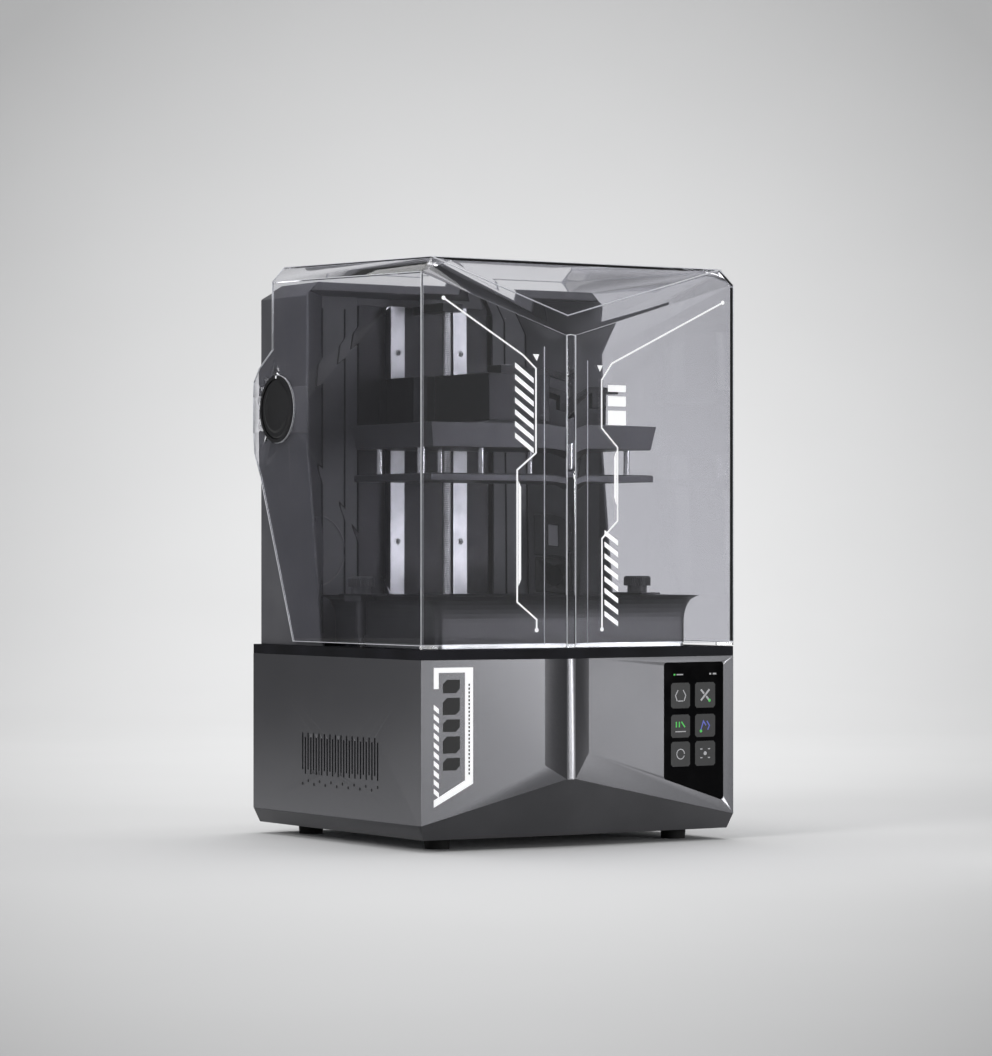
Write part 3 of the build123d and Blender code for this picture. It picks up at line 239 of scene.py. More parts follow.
finishes = {
    "metallicGrey": metallicPaint("metallicGreyPaint", {
        "dark": "#69696c", "light": "#707074", "flakeMm": 1.2, "driftMm": 90, "peelMm": 6.0, "rough": 0.235,
        "metallic": 0.8}),
    # a darker copy of the body paint for the two ridge bevels: painted shade
    "bevelPaintedShade": metallicPaint("bevelPaintedShadeGrey", {
        "dark": "#3b3b3e", "light": "#434346", "flakeMm": 1.2, "driftMm": 90, "peelMm": 6.0, "rough": 0.235,
        "metallic": 0.8}),
    "skirtPlastic": mouldedPlastic("skirtAbs", {
        "dark": "#2e2e31", "light": "#37373a", "grainMm": 0.6, "rough": 0.45}),
    "deckPlastic": mouldedPlastic("deckAbs", {
        "dark": "#1e1e20", "light": "#26262a", "grainMm": 0.6, "rough": 0.7, "specular": 0.04}),
    "towerPlastic": mouldedPlastic("towerAbs", {
        "dark": "#4c4c50", "light": "#57575b", "grainMm": 0.7, "rough": 0.5}),
    "cheekPlastic": mouldedPlastic("cheekAbs", {
        "dark": "#5e5e62", "light": "#68686c", "grainMm": 0.7, "rough": 0.45}),
    "blackPlastic": mouldedPlastic("blackAbs", {
        "dark": "#0f0f10", "light": "#19191b", "grainMm": 0.5, "rough": 0.36}),
    "rockerPlastic": mouldedPlastic("rockerNylon", {
        "dark": "#0c0c0d", "light": "#151517", "grainMm": 0.5, "rough": 0.22, "bump": 0.05}),
    "vatPaint": metallicPaint("vatGreyPaint", {
        "dark": "#2c2c2f", "light": "#37373a", "flakeMm": 0.6, "driftMm": 30, "peelMm": 2.0, "rough": 0.5,
        "metallic": 0.4}),
    "footRubber": softRubber("footRubber", {"dark": "#0e0e0e", "light": "#1b1b1b"}),
    "zincSteel": machinedMetal("zincPlatedSteel", {
        "dark": "#8f949a", "light": "#b5b9be", "lineMm": 0.5, "streak": (0.05, 1, 1), "rough": 0.35}),
    "plainSteel": machinedMetal("plainSteel", {
        "dark": "#8d8d90", "light": "#b4b4b7", "lineMm": 0.4, "streak": (1, 1, 0.1), "rough": 0.28}),
    "railSteel": machinedMetal("groundRailSteel", {
        "dark": "#8b8b8e", "light": "#a9a9ac", "lineMm": 0.5, "streak": (1, 1, 0.03), "rough": 0.36}),
    # near white and partly non-metal, so the screw reads bright from every side: painted sheen standing in for
    # its reflections
    "brightenedScrewSteel": machinedMetal("screwSteelPaintedSheen", {
        "dark": "#dadadc", "light": "#f4f4f5", "lineMm": 0.4, "streak": (1, 1, 0.3), "rough": 0.42,
        "metallic": 0.7}),
    "motorPaint": mouldedPlastic("motorEnamel", {
        "dark": "#121213", "light": "#1c1c1e", "grainMm": 0.8, "rough": 0.4}),
    "milledAluminium": machinedMetal("milledAluminium", {
        "dark": "#a9abae", "light": "#cdced1", "lineMm": 0.5, "streak": (0.06, 1, 1), "rough": 0.3}),
    "darkAnodised": anodisedAluminium("darkAnodised", {
        "dark": "#1e1e20", "light": "#29292c", "rough": 0.42}),
    "trayAnodised": anodisedAluminium("trayAnodised", {
        "dark": "#38383b", "light": "#444448", "rough": 0.42, "metallic": 0.6}),
    "plateEtched": anodisedAluminium("etchedPlate", {
        "dark": "#3c3c3f", "light": "#4c4c50", "rough": 0.5}),
    "chromePlate": machinedMetal("polishedChrome", {
        "dark": "#c9c9cc", "light": "#e8e8ea", "lineMm": 0.5, "streak": (1, 1, 0.05), "rough": 0.12,
        "bump": 0.03}),
    "turnedBrass": machinedMetal("turnedBrass", {
        "dark": "#a5813c", "light": "#cba65a", "lineMm": 0.4, "streak": (1, 1, 3), "rough": 0.26}),
    "boardGreen": circuitBoard("circuitBoard", {"dark": "#0d3a20", "light": "#2c7a4a"}),
    "ledDomes": printedInk("ledPhosphor", {"dark": "#c9b04a", "light": "#e8d878"}),
    "screenGlass": darkGlass("screenGlass", {"colour": "#060607"}),
    "lcdGlass": darkGlass("lcdGlass", {"colour": "#0b0b0d"}),
    "lensGlass": darkGlass("lensGlass", {"colour": "#08080c"}),
    "lightLens": smokedAcrylic("clearLens", {
        "tint": "#f2f4f6", "shadow": "#e8eaec", "rough": 0.03, "ior": 1.49}),
    "releaseFilm": smokedAcrylic("releaseFilm", {
        "tint": "#f0f0f0", "shadow": "#eeeeee", "rough": 0.08, "ior": 1.3}),
    "smokedLid": smokedAcrylic("smokedAcrylic", {
        "tint": "#e7e7eb", "shadow": "#dcdce0", "rough": 0.02, "ior": 1.49}),
    "cardFelt": softRubber("cardFelt", {"dark": "#39393b", "light": "#444447"}),
    "greyFelt": softRubber("greyFelt", {"dark": "#6c6c6f", "light": "#767679"}),
    # pale ink with a faint glow for the cover's edge lines: painted highlight and glow
    "paintedEdgeHighlight": printedInk("paintedEdgeHighlight", {"dark": "#b9babf", "light": "#d6d7db", "glow": 0.12}),
    "clearBumper": smokedAcrylic("clearBumper", {
        "tint": "#eeeef0", "shadow": "#e0e0e2", "rough": 0.15, "ior": 1.49}),
    "frostedWindow": mouldedPlastic("frostedWindow", {
        "dark": "#8f8f92", "light": "#a3a3a6", "grainMm": 0.6, "rough": 0.5}),
    # white print ink with a faint glow: the print is real, the glow is painted light
    "glowingWhiteInk": printedInk("glowingWhiteInk", {"dark": "#ececee", "light": "#ffffff", "glow": 0.25}),
    "blackInk": printedInk("blackInk", {"dark": "#0a0a0b", "light": "#161618"}),
    "paleIcon": printedInk("paleIcon", {"dark": "#8d8d90", "light": "#b4b4b7", "glow": 0.12}),
    "greenIcon": printedInk("greenIcon", {"dark": "#2a9a36", "light": "#43b94e", "glow": 0.35}),
    "violetIcon": printedInk("violetIcon", {"dark": "#3f4596", "light": "#5a62b8", "glow": 0.3}),
    "tileInk": printedInk("tileInk", {"dark": "#0d0e0f", "light": "#131415", "glow": 0.01}),
}
print("materials made:", len(finishes))

nodeFinish = {
    "base_shell": "metallicGrey", "base_skirt": "skirtPlastic", "bottom_plate": "zincSteel",
    "feet": "footRubber", "foot_screws": "plainSteel", "touch_screen_glass": "screenGlass",
    "touch_screen_module": "boardGreen", "power_inlet": "blackPlastic", "switch_housing": "blackPlastic",
    "power_rocker": "rockerPlastic", "usb_port": "plainSteel", "deck_plate": "deckPlastic",
    "deck_inserts": "turnedBrass", "lcd_panel": "lcdGlass", "light_housing": "blackPlastic",
    "light_lens": "lightLens", "led_board": "milledAluminium", "leds": "ledDomes",
    "heat_sink": "milledAluminium", "fan_frame": "blackPlastic", "fan_rotor": "blackPlastic",
    "main_board": "boardGreen", "power_supply": "zincSteel", "motor_mount": "darkAnodised",
    "z_motor": "motorPaint", "motor_shaft": "plainSteel", "shaft_coupling": "milledAluminium",
    "lead_screw": "brightenedScrewSteel", "z_column": "darkAnodised", "rail_left": "railSteel",
    "rail_right": "railSteel", "rail_screws": "plainSteel", "top_bearing": "darkAnodised",
    "tower_housing": "towerPlastic", "tower_rear_cover": "towerPlastic", "camera_housing": "blackPlastic",
    "camera_lens": "lensGlass", "lamp_housing": "skirtPlastic", "lamp_window": "frostedWindow",
    "filter_cover": "towerPlastic", "rail_carriages": "darkAnodised", "z_arm": "darkAnodised",
    "z_nut": "turnedBrass", "arm_bracket": "darkAnodised", "platform_tray": "trayAnodised",
    "platform_posts": "chromePlate", "build_plate": "plateEtched", "lever_pin": "plainSteel",
    "clamp_lever": "darkAnodised", "vat_body": "vatPaint", "film_frame": "milledAluminium",
    "release_film": "releaseFilm", "vat_clamp_plates": "darkAnodised", "vat_knob_left": "skirtPlastic",
    "vat_knob_right": "skirtPlastic", "lid": "smokedLid", "hinge_hubs": "blackPlastic",
    "hinge_pins": "plainSteel", "hinge_caps": "blackPlastic", "lid_bumpers": "clearBumper",
}
for node, finish in nodeFinish.items():
    part = frame["nodes"][node]
    if not part.material_slots:
        part.data.materials.append(finishes[finish])
    for slot in part.material_slots:
        slot.material = finishes[finish]
print("frame nodes finished:", len(nodeFinish))


def keep(name, mesh, finish, body, smooth=False):
    # turns a bmesh into a piece with one finish that rides on a body
    data = bpy.data.meshes.new(name)
    mesh.to_mesh(data)
    mesh.free()
    piece = bpy.data.objects.new(name, data)
    bpy.context.scene.collection.objects.link(piece)
    data.materials.append(finishes[finish])
    for face in data.polygons:
        face.use_smooth = smooth
    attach(piece, body)
    return piece


def addBox(mesh, centre, size):
    # an upright box from its middle and its three sizes
    box = bmesh.ops.create_cube(mesh, size=1.0)
    bmesh.ops.scale(mesh, vec=size, verts=box["verts"])
    bmesh.ops.translate(mesh, verts=box["verts"], vec=centre)


def addRod(mesh, radius, depth, segments, place):
    # a closed cylinder along Z, put in its place by a matrix
    rod = bmesh.ops.create_cone(mesh, cap_ends=True, segments=segments, radius1=radius, radius2=radius,
                                depth=depth)
    bmesh.ops.transform(mesh, matrix=place, verts=rod["verts"])


def easeEdges(mesh, width, segments):
    # rounds every edge of a small part
    bmesh.ops.bevel(mesh, geom=mesh.edges[:], offset=width * mm, offset_type="OFFSET", segments=segments,
                    profile=0.5, affect="EDGES", material=-1)


def liftFaces(mesh, faces, rise):
    # extrudes the faces along Z and returns what was made
    lifted = bmesh.ops.extrude_face_region(mesh, geom=faces)
    tops = [v for v in lifted["geom"] if isinstance(v, bmesh.types.BMVert)]
    bmesh.ops.translate(mesh, verts=tops, vec=(0, 0, rise))
    return lifted["geom"]


def mergedCopy(node):
    # a copy of a node's shape, with its loose triangles joined into whole faces
    mesh = bmesh.new()
    mesh.from_mesh(frame["nodes"][node].data)
    bmesh.ops.remove_doubles(mesh, verts=mesh.verts, dist=0.002 * mm)
    bmesh.ops.dissolve_limit(mesh, angle_limit=radians(1.0), verts=mesh.verts, edges=mesh.edges,
                             delimit={"NORMAL"})
    return mesh


def soften(node, name, settings):
    # the node's own shape with its sharp edges rounded, as moulding or deburring leaves them
    mesh = mergedCopy(node)
    edges = []
    for edge in mesh.edges:
        if len(edge.link_faces) != 2 or edge.calc_length() < settings.get("shortest", 5) * mm:
            continue
        if abs(edge.calc_face_angle_signed(0)) < radians(settings.get("angle", 12)):
            continue
        edges.append(edge)
    bmesh.ops.bevel(mesh, geom=edges, offset=settings["width"] * mm, offset_type="OFFSET",
                    segments=settings.get("segments", 2), profile=0.5, affect="EDGES",
                    clamp_overlap=True, material=-1)
    bmesh.ops.triangulate(mesh, faces=[f for f in mesh.faces if len(f.verts) > 4])
    piece = keep(name, mesh, nodeFinish[node], nodeBody[node])
    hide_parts(node)
    return piece


def tidyEdges(piece):
    # shades the rounded edges smoothly and leaves the flats flat
    weighted = piece.modifiers.new("flatFaces", "WEIGHTED_NORMAL")
    weighted.keep_sharp = True
    for face in piece.data.polygons:
        face.use_smooth = True


softened = {
    "lid": {"name": "coverShell", "width": 0.5, "angle": 20, "segments": 1, "shortest": 40},
    "base_shell": {"name": "baseShell", "width": 0.6, "angle": 24, "shortest": 12},
    "base_skirt": {"name": "baseSkirt", "width": 0.9, "angle": 8, "shortest": 8},
    "deck_plate": {"name": "deckPlate", "width": 0.7, "angle": 8, "shortest": 8},
    "tower_housing": {"name": "towerHousing", "width": 1.2, "angle": 15, "shortest": 6},
    "platform_tray": {"name": "platformTray", "width": 0.5, "angle": 15},
    "z_arm": {"name": "zArm", "width": 1.0, "angle": 30},
    "arm_bracket": {"name": "armBracket", "width": 0.8, "angle": 30},
    "clamp_lever": {"name": "clampLever", "width": 1.2, "angle": 30, "shortest": 3},
    "camera_housing": {"name": "cameraHousing", "width": 1.2, "angle": 30},
    "lamp_housing": {"name": "lampHousing", "width": 1.2, "angle": 30},
}


def refinish(piece, finish, chosen):
    # gives the chosen faces of a piece a second finish
    piece.data.materials.append(finishes[finish])
    for face in piece.data.polygons:
        if chosen(face):
            face.material_index = 1


for node, settings in softened.items():
    piece = soften(node, settings["name"], settings)
    tidyEdges(piece)
    if node == "lid":
        # a thin dark seal is bonded under the cover's rim
        rim = min(v.co.z for v in piece.data.vertices)
        refinish(piece, "footRubber", lambda face: face.center.z < rim + 0.6 * mm)
    if node == "base_shell":
        # the two bevels beside the ridge take a darker copy of the body paint: painted shade
        refinish(piece, "bevelPaintedShade", lambda face: (
            face.center.y < -157 * mm and 0.2 < abs(face.normal.x) < 0.6 and abs(face.normal.z) < 0.1))
print("edges rounded:", len(softened))


def coverEdgeHighlights():
    # pale glowing lines along the clear cover's edges: painted highlights with a faint glow, standing in for
    # the light its flame-polished edges catch and pipe
    sizes = {
        "outerR": 0.42, "innerR": 0.2, "crestR": 0.62, "footR": 0.3, "shortest": 1.0, "angle": 8, "sides": 6,
        "crest": [(-155.0, -142.5, 524.8), (-23.3, -158.2, 475.7), (155.0, -142.5, 524.8)],
        "crestDeep": 4.0, "ridgeHalf": 30.0, "rimTall": 6.0,
    }
    mesh = mergedCopy("lid")
    crest = [Vector(p) * mm for p in sizes["crest"]]
    runs = [(start, end, sizes["crestR"]) for start, end in zip(crest, crest[1:])]
    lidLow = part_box("lid")[0].z
    for edge in mesh.edges:
        if len(edge.link_faces) != 2 or edge.calc_length() < sizes["shortest"] * mm:
            continue
        bend = edge.calc_face_angle_signed(0)
        if abs(bend) < radians(sizes["angle"]):
            continue
        start, end = (v.co for v in edge.verts)
        middle = (start + end) / 2
        topZ = max(start.z, end.z)
        # the slanting edges under the crest and the inner ones beside the ridge stay plain
        slanting = abs(start.z - end.z) > 5 * mm and abs(start.x - end.x) > 5 * mm
        if slanting and middle.y < crest[0].y + sizes["crestDeep"] * mm:
            continue
        nearRidge = abs(middle.x - crest[1].x) < sizes["ridgeHalf"] * mm
        if bend < 0 and (nearRidge or topZ < lidLow + sizes["rimTall"] * mm):
            continue
        radius = sizes["outerR"] if bend > 0 else sizes["innerR"]
        if topZ < lidLow + 1 * mm:
            radius = sizes["footR"]
        runs.append((start, end, radius))
    lines = bmesh.new()
    for start, end, radius in runs:
        turn = (end - start).to_track_quat("Z", "Y").to_matrix().to_4x4()
        addRod(lines, radius * mm, (end - start).length + radius * mm, sizes["sides"],
               Matrix.Translation((start + end) / 2) @ turn)
    mesh.free()
    keep("coverEdgeHighlights", lines, "paintedEdgeHighlight", "lid", smooth=True)


coverEdgeHighlights()

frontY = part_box("base_shell")[0].y
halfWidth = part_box("base_shell")[1].x
shape = {
    "cornerSetback": 20.0, "bevelSetback": 7.0, "ridgeX": -23.3, "bevelHalf": 23.4,
    "printThickness": 0.12,
}
cornerY = frontY / mm + shape["cornerSetback"]
bevelY = frontY / mm + shape["bevelSetback"]
panels = {
    "left": ((-halfWidth / mm, cornerY), (shape["ridgeX"] - shape["bevelHalf"], bevelY)),
    "right": ((shape["ridgeX"] + shape["bevelHalf"], bevelY), (halfWidth / mm, cornerY)),
}


def panelMatrix(panel, lift=0.0):
    # takes (x, z, out) in millimetres, with x as seen from the front, to the panel's face
    (ax, ay), (bx, by) = panels[panel]
    slope = (by - ay) / (bx - ax)
    length = hypot(bx - ax, by - ay)
    out = Vector(((by - ay) / length, -(bx - ax) / length, 0))
    origin = Vector((0, ay - ax * slope, 0)) + out * lift
    return Matrix((
        (mm, 0, out.x * mm, origin.x * mm),
        (slope * mm, 0, out.y * mm, origin.y * mm),
        (0, mm, 0, origin.z * mm),
        (0, 0, 0, 1),
    ))


def addFlat(mesh, outline, thickness):
    # a flat shape from its outline, given thickness towards +Z of its own plane
    face = mesh.faces.new([mesh.verts.new((x, y, 0)) for x, y in outline])
    liftFaces(mesh, [face], thickness)


def strokeOutline(points, width):
    # the outline of a line of that width through the points, with mitred corners
    left, right = [], []
    for i, point in enumerate(points):
        here = Vector(point)
        before = (here - Vector(points[i - 1])).normalized() if i else None
        after = (Vector(points[i + 1]) - here).normalized() if i < len(points) - 1 else None
        run = ((before or after) + (after or before)).normalized()
        side = Vector((-run.y, run.x))
        reach = width / 2
        if before and after:
            reach /= max(0.3, abs(side.dot(Vector((-before.y, before.x)))))
        left.append(tuple(here + side * reach))
        right.append(tuple(here - side * reach))
    return left + right[::-1]


def discOutline(x, y, r, steps=20):
    return [(x + r * cos(2 * pi * i / steps), y + r * sin(2 * pi * i / steps)) for i in range(steps)]


def boxOutline(x0, y0, x1, y1):
    return [(x0, y0), (x1, y0), (x1, y1), (x0, y1)]


def hatchOutlines(x0, x1, low, high, pitch, width, lean):
    # slanting bars between two upright limits
    bars = []
    count = int((high - low) / pitch)
    for i in range(count):
        start = low + i * pitch
        rise = lean * (x1 - x0)
        bars.append([(x0, start), (x1, start + rise), (x1, start + rise + width), (x0, start + width)])
    return bars


def printOn(panel, name, outlines, finish, body, lift=0.0):
    # thin printed shapes on a front panel
    mesh = bmesh.new()
    for outline in outlines:
        addFlat(mesh, outline, shape["printThickness"])
    bmesh.ops.transform(mesh, matrix=panelMatrix(panel, lift), verts=mesh.verts)
    bmesh.ops.recalc_face_normals(mesh, faces=mesh.faces)
    return keep(name, mesh, finish, body)


coverMarks = {
    "left": {
        "line": [(-145.9, 488.3), (-68.5, 439.7), (-55.7, 427.8), (-55.7, 352.7), (-74.2, 337.4),
                 (-74.2, 220.1), (-55.0, 204.4), (-55.0, 195.0)],
        "bar": [(-73.0, 328.0), (-70.4, 322.0), (-70.4, 240.0), (-73.0, 234.0)],
        "hatch": (-76.3, -58.0, 366.0, 439.0, 10.4, 4.6, -0.75),
        "triangle": [(-58.8, 440.6), (-52.6, 440.6), (-54.8, 434.6)],
        "blocks": [],
    },
    "right": {
        "line": [(154.9, 494.2), (25.9, 434.5), (14.3, 419.3), (14.3, 376.2), (32.4, 358.9),
                 (32.4, 292.5), (14.7, 276.7), (14.7, 195.0)],
        "bar": [(31.2, 356.0), (28.6, 350.0), (28.6, 314.0), (31.2, 307.0)],
        "hatch": (17.6, 33.0, 207.0, 292.0, 10.4, 4.6, -0.62),
        "triangle": [(9.2, 432.4), (15.4, 432.4), (12.4, 426.6)],
        "blocks": [(21.5, 409.0, 42.0, 415.0), (21.5, 396.0, 42.0, 405.0), (21.5, 379.0, 42.0, 392.0)],
    },
}
lineWide, dotR = 1.5, 1.9
for panel, marks in coverMarks.items():
    shapes = [strokeOutline(marks["line"], lineWide), marks["bar"], marks["triangle"]]
    shapes += hatchOutlines(*marks["hatch"])
    shapes += [discOutline(*marks["line"][i], dotR) for i in (0, -1)]
    shapes += [boxOutline(*block) for block in marks["blocks"]]
    printOn(panel, panel.title() + "CoverPrint", shapes, "glowingWhiteInk", "lid")
print("cover prints made")


baseMark = {
    "frame": [(-155.3, 162.6), (-117.3, 162.6), (-117.3, 60.0), (-155.3, 39.6), (-155.3, 45.9),
              (-125.1, 63.0), (-125.1, 158.2), (-150.6, 158.2), (-150.6, 144.0), (-155.3, 144.0)],
    "hatch": (-155.3, -150.4, 52.0, 142.0, 8.2, 4.4, -0.8),
    "blockX": (-146.5, -130.0), "blockCut": 4.0,
    "blockZ": [(140.0, 152.0), (121.0, 136.0), (106.0, 117.0), (87.0, 102.0), (72.0, 83.0)],
    "dashes": (-121.8, -120.4, 68.0, 152.0, 3.4, 2.1),
}
frameShapes = [baseMark["frame"]] + hatchOutlines(*baseMark["hatch"])
printOn("left", "baseMarkFrame", frameShapes, "glowingWhiteInk", "printer")
darkShapes = []
x0, x1 = baseMark["blockX"]
cut = baseMark["blockCut"]
for z0, z1 in baseMark["blockZ"]:
    darkShapes.append([(x0, z0), (x1 - cut, z0), (x1, z0 + cut), (x1, z1), (x0 + cut, z1), (x0, z1 - cut)])
printOn("left", "baseMarkBlocks", darkShapes, "blackInk", "printer")
x0, x1, zLow, zHigh, pitch, length = baseMark["dashes"]
dashes = [boxOutline(x0, zLow + i * pitch, x1, zLow + i * pitch + length)
          for i in range(int((zHigh - zLow) / pitch))]
printOn("left", "baseMarkDashes", dashes, "tileInk", "printer", shape["printThickness"])
print("base mark made")


def leadScrewThread():
    # a rolled trapezoidal thread: one turn of its section, copied up the rod, on a plain core
    sizes = {"pitch": 2.0, "core": 3.22, "root": 3.2, "crest": 4.0, "steps": 20}
    low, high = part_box("lead_screw")
    centre = (low + high) / 2
    turns = int((high.z - low.z) / (sizes["pitch"] * mm)) - 1
    mesh = bmesh.new()
    section = [(sizes["root"], 0.0), (sizes["crest"], 0.5), (sizes["crest"], 1.0), (sizes["root"], 1.5),
               (sizes["root"], 2.0)]
    verts = [mesh.verts.new((centre.x + r * mm, centre.y, low.z + z * mm)) for r, z in section]
    edges = [mesh.edges.new(pair) for pair in zip(verts, verts[1:])]
    bmesh.ops.spin(mesh, geom=verts + edges, cent=(centre.x, centre.y, 0), axis=(0, 0, 1),
                   dvec=(0, 0, sizes["pitch"] * mm / sizes["steps"]), angle=2 * pi,
                   steps=sizes["steps"], use_merge=False)
    turn = mesh.verts[:] + mesh.edges[:] + mesh.faces[:]
    for i in range(1, turns):
        copied = bmesh.ops.duplicate(mesh, geom=turn)
        moved = [v for v in copied["geom"] if isinstance(v, bmesh.types.BMVert)]
        bmesh.ops.translate(mesh, verts=moved, vec=(0, 0, i * sizes["pitch"] * mm))
    bmesh.ops.remove_doubles(mesh, verts=mesh.verts, dist=0.001 * mm)
    addRod(mesh, sizes["core"] * mm, high.z - low.z, 24, Matrix.Translation(centre))
    bmesh.ops.recalc_face_normals(mesh, faces=mesh.faces)
    piece = keep("leadScrewThread", mesh, "brightenedScrewSteel", "screw")
    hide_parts("lead_screw")


leadScrewThread()


def thumbKnob(node, name):
    # a moulded thumb nut: straight grip ribs round the cap, a neck and a stud, which is steel on the real nut
    # but takes the knob's finish here
    sizes = {"ribs": 40, "ribDepth": 0.7, "capR": 12.5, "capTall": 9.2, "crownTall": 1.6, "crownShare": 0.86,
             "neckR": 9.0, "neckTall": 6.4, "studR": 3.0}
    low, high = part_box(node)
    centre = (low + high) / 2
    capLow = high.z - sizes["capTall"] * mm
    neckLow = capLow - sizes["neckTall"] * mm
    mesh = bmesh.new()
    ring = bmesh.ops.create_circle(mesh, cap_ends=True, segments=sizes["ribs"] * 4, radius=sizes["capR"] * mm)
    for i, vert in enumerate(ring["verts"]):
        if i % 4 in (0, 1):
            vert.co *= 1 - sizes["ribDepth"] / sizes["capR"]
    bmesh.ops.translate(mesh, verts=ring["verts"], vec=(0, 0, capLow))
    body = liftFaces(mesh, mesh.faces[:], (sizes["capTall"] - sizes["crownTall"]) * mm)
    crown = liftFaces(mesh, [f for f in body if isinstance(f, bmesh.types.BMFace)], sizes["crownTall"] * mm)
    share = sizes["crownShare"]
    bmesh.ops.scale(mesh, vec=(share, share, 1), verts=[v for v in crown if isinstance(v, bmesh.types.BMVert)])
    for radius, z0, z1 in ((sizes["neckR"], neckLow, capLow), (sizes["studR"], low.z, neckLow)):
        addRod(mesh, radius * mm, z1 - z0, 40, Matrix.Translation((0, 0, (z0 + z1) / 2)))
    bmesh.ops.translate(mesh, verts=mesh.verts, vec=(centre.x, centre.y, 0))
    bmesh.ops.recalc_face_normals(mesh, faces=mesh.faces)
    piece = keep(name, mesh, "skirtPlastic", nodeBody[node])
    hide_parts(node)


thumbKnob("vat_knob_left", "thumbKnobLeft")
thumbKnob("vat_knob_right", "thumbKnobRight")
print("screw thread and thumb knobs made")


def hingeCaps():
    # shallow moulded domes with one slanting flat, one on each side
    sizes = {"rise": 2.6, "steps": 64}
    low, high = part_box("hinge_caps")
    y, z = (low.y + high.y) / 2, (low.z + high.z) / 2
    radius = (high.z - low.z) / 2
    mesh = bmesh.new()
    for side in (-1, 1):
        face = side * (high.x - 1.3 * mm)
        part = bmesh.new()
        outline = [(0.0, sizes["rise"]), (0.5, sizes["rise"]), (0.72, sizes["rise"] * 0.86),
                   (0.8, sizes["rise"] * 0.55), (0.93, sizes["rise"] * 0.5), (1.0, 0.0), (0.0, 0.0)]
        verts = [part.verts.new((out * mm, share * radius, 0)) for share, out in outline]
        edges = [part.edges.new(pair) for pair in zip(verts, verts[1:])]
        bmesh.ops.spin(part, geom=verts + edges, cent=(0, 0, 0), axis=(1, 0, 0), angle=2 * pi,
                       steps=sizes["steps"], use_merge=True)
        bmesh.ops.remove_doubles(part, verts=part.verts, dist=0.001 * mm)
        cut = bmesh.ops.bisect_plane(part, geom=part.verts[:] + part.edges[:] + part.faces[:],
                                     plane_co=(2.2 * mm, 0, 0), plane_no=(1, -0.055, 0.075), clear_outer=True)
        rim = [e for e in cut["geom_cut"] if isinstance(e, bmesh.types.BMEdge)]
        bmesh.ops.holes_fill(part, edges=rim)
        bmesh.ops.scale(part, vec=(side, 1, 1), verts=part.verts)
        bmesh.ops.translate(part, verts=part.verts, vec=(face, y, z))
        bmesh.ops.recalc_face_normals(part, faces=part.faces)
        temp = bpy.data.meshes.new("capHalf")
        part.to_mesh(temp)
        part.free()
        mesh.from_mesh(temp)
        bpy.data.meshes.remove(temp)
    piece = keep("hingeDomes", mesh, "blackPlastic", "printer")
    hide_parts("hinge_caps")


hingeCaps()


def hubTicks():
    # a white index mark at the top of each hub ring
    sizes = {"thick": 0.3, "wide": 2.2, "tall": 2.6, "down": 1.6}
    low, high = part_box("hinge_hubs")
    mesh = bmesh.new()
    for side in (-1, 1):
        addBox(mesh, (side * high.x, (low.y + high.y) / 2, high.z - sizes["down"] * mm),
               (sizes["thick"] * mm, sizes["wide"] * mm, sizes["tall"] * mm))
    keep("hubTicks", mesh, "glowingWhiteInk", "lid")


hubTicks()


def railScrews():
    # countersunk socket screws: a flat ring with a round socket sunk in it
    sizes = {"headR": 3.15, "edgeIn": 3.2, "socketR": 1.7, "dish": 0.25, "socketDeep": 2.0, "pitch": 60.0,
             "lowest": 30.0}
    low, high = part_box("rail_screws")
    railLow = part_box("rail_left")[0]
    mesh = bmesh.new()
    z = railLow.z + sizes["lowest"] * mm
    while z < high.z:
        for x in (low.x + sizes["edgeIn"] * mm, high.x - sizes["edgeIn"] * mm):
            head = bmesh.ops.create_circle(mesh, cap_ends=True, segments=24, radius=sizes["headR"] * mm)
            face = head["verts"][0].link_faces[0]
            ring = bmesh.ops.inset_individual(mesh, faces=[face],
                                              thickness=(sizes["headR"] - sizes["socketR"]) * mm)
            bmesh.ops.translate(mesh, verts=face.verts, vec=(0, 0, -sizes["dish"] * mm))
            sunk = bmesh.ops.extrude_discrete_faces(mesh, faces=[face])
            floor = sunk["faces"][0]
            bmesh.ops.translate(mesh, verts=floor.verts, vec=(0, 0, -sizes["socketDeep"] * mm))
            verts = {v for f in ring["faces"] + [floor] for v in f.verts}
            turn = Matrix.Translation((x, low.y, z)) @ Matrix.Rotation(radians(90), 4, "X")
            bmesh.ops.transform(mesh, matrix=turn, verts=list(verts))
        z += sizes["pitch"] * mm
    piece = keep("railScrewHeads", mesh, "plainSteel", "printer")
    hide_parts("rail_screws")


railScrews()
print("hinge caps and rail screws made")

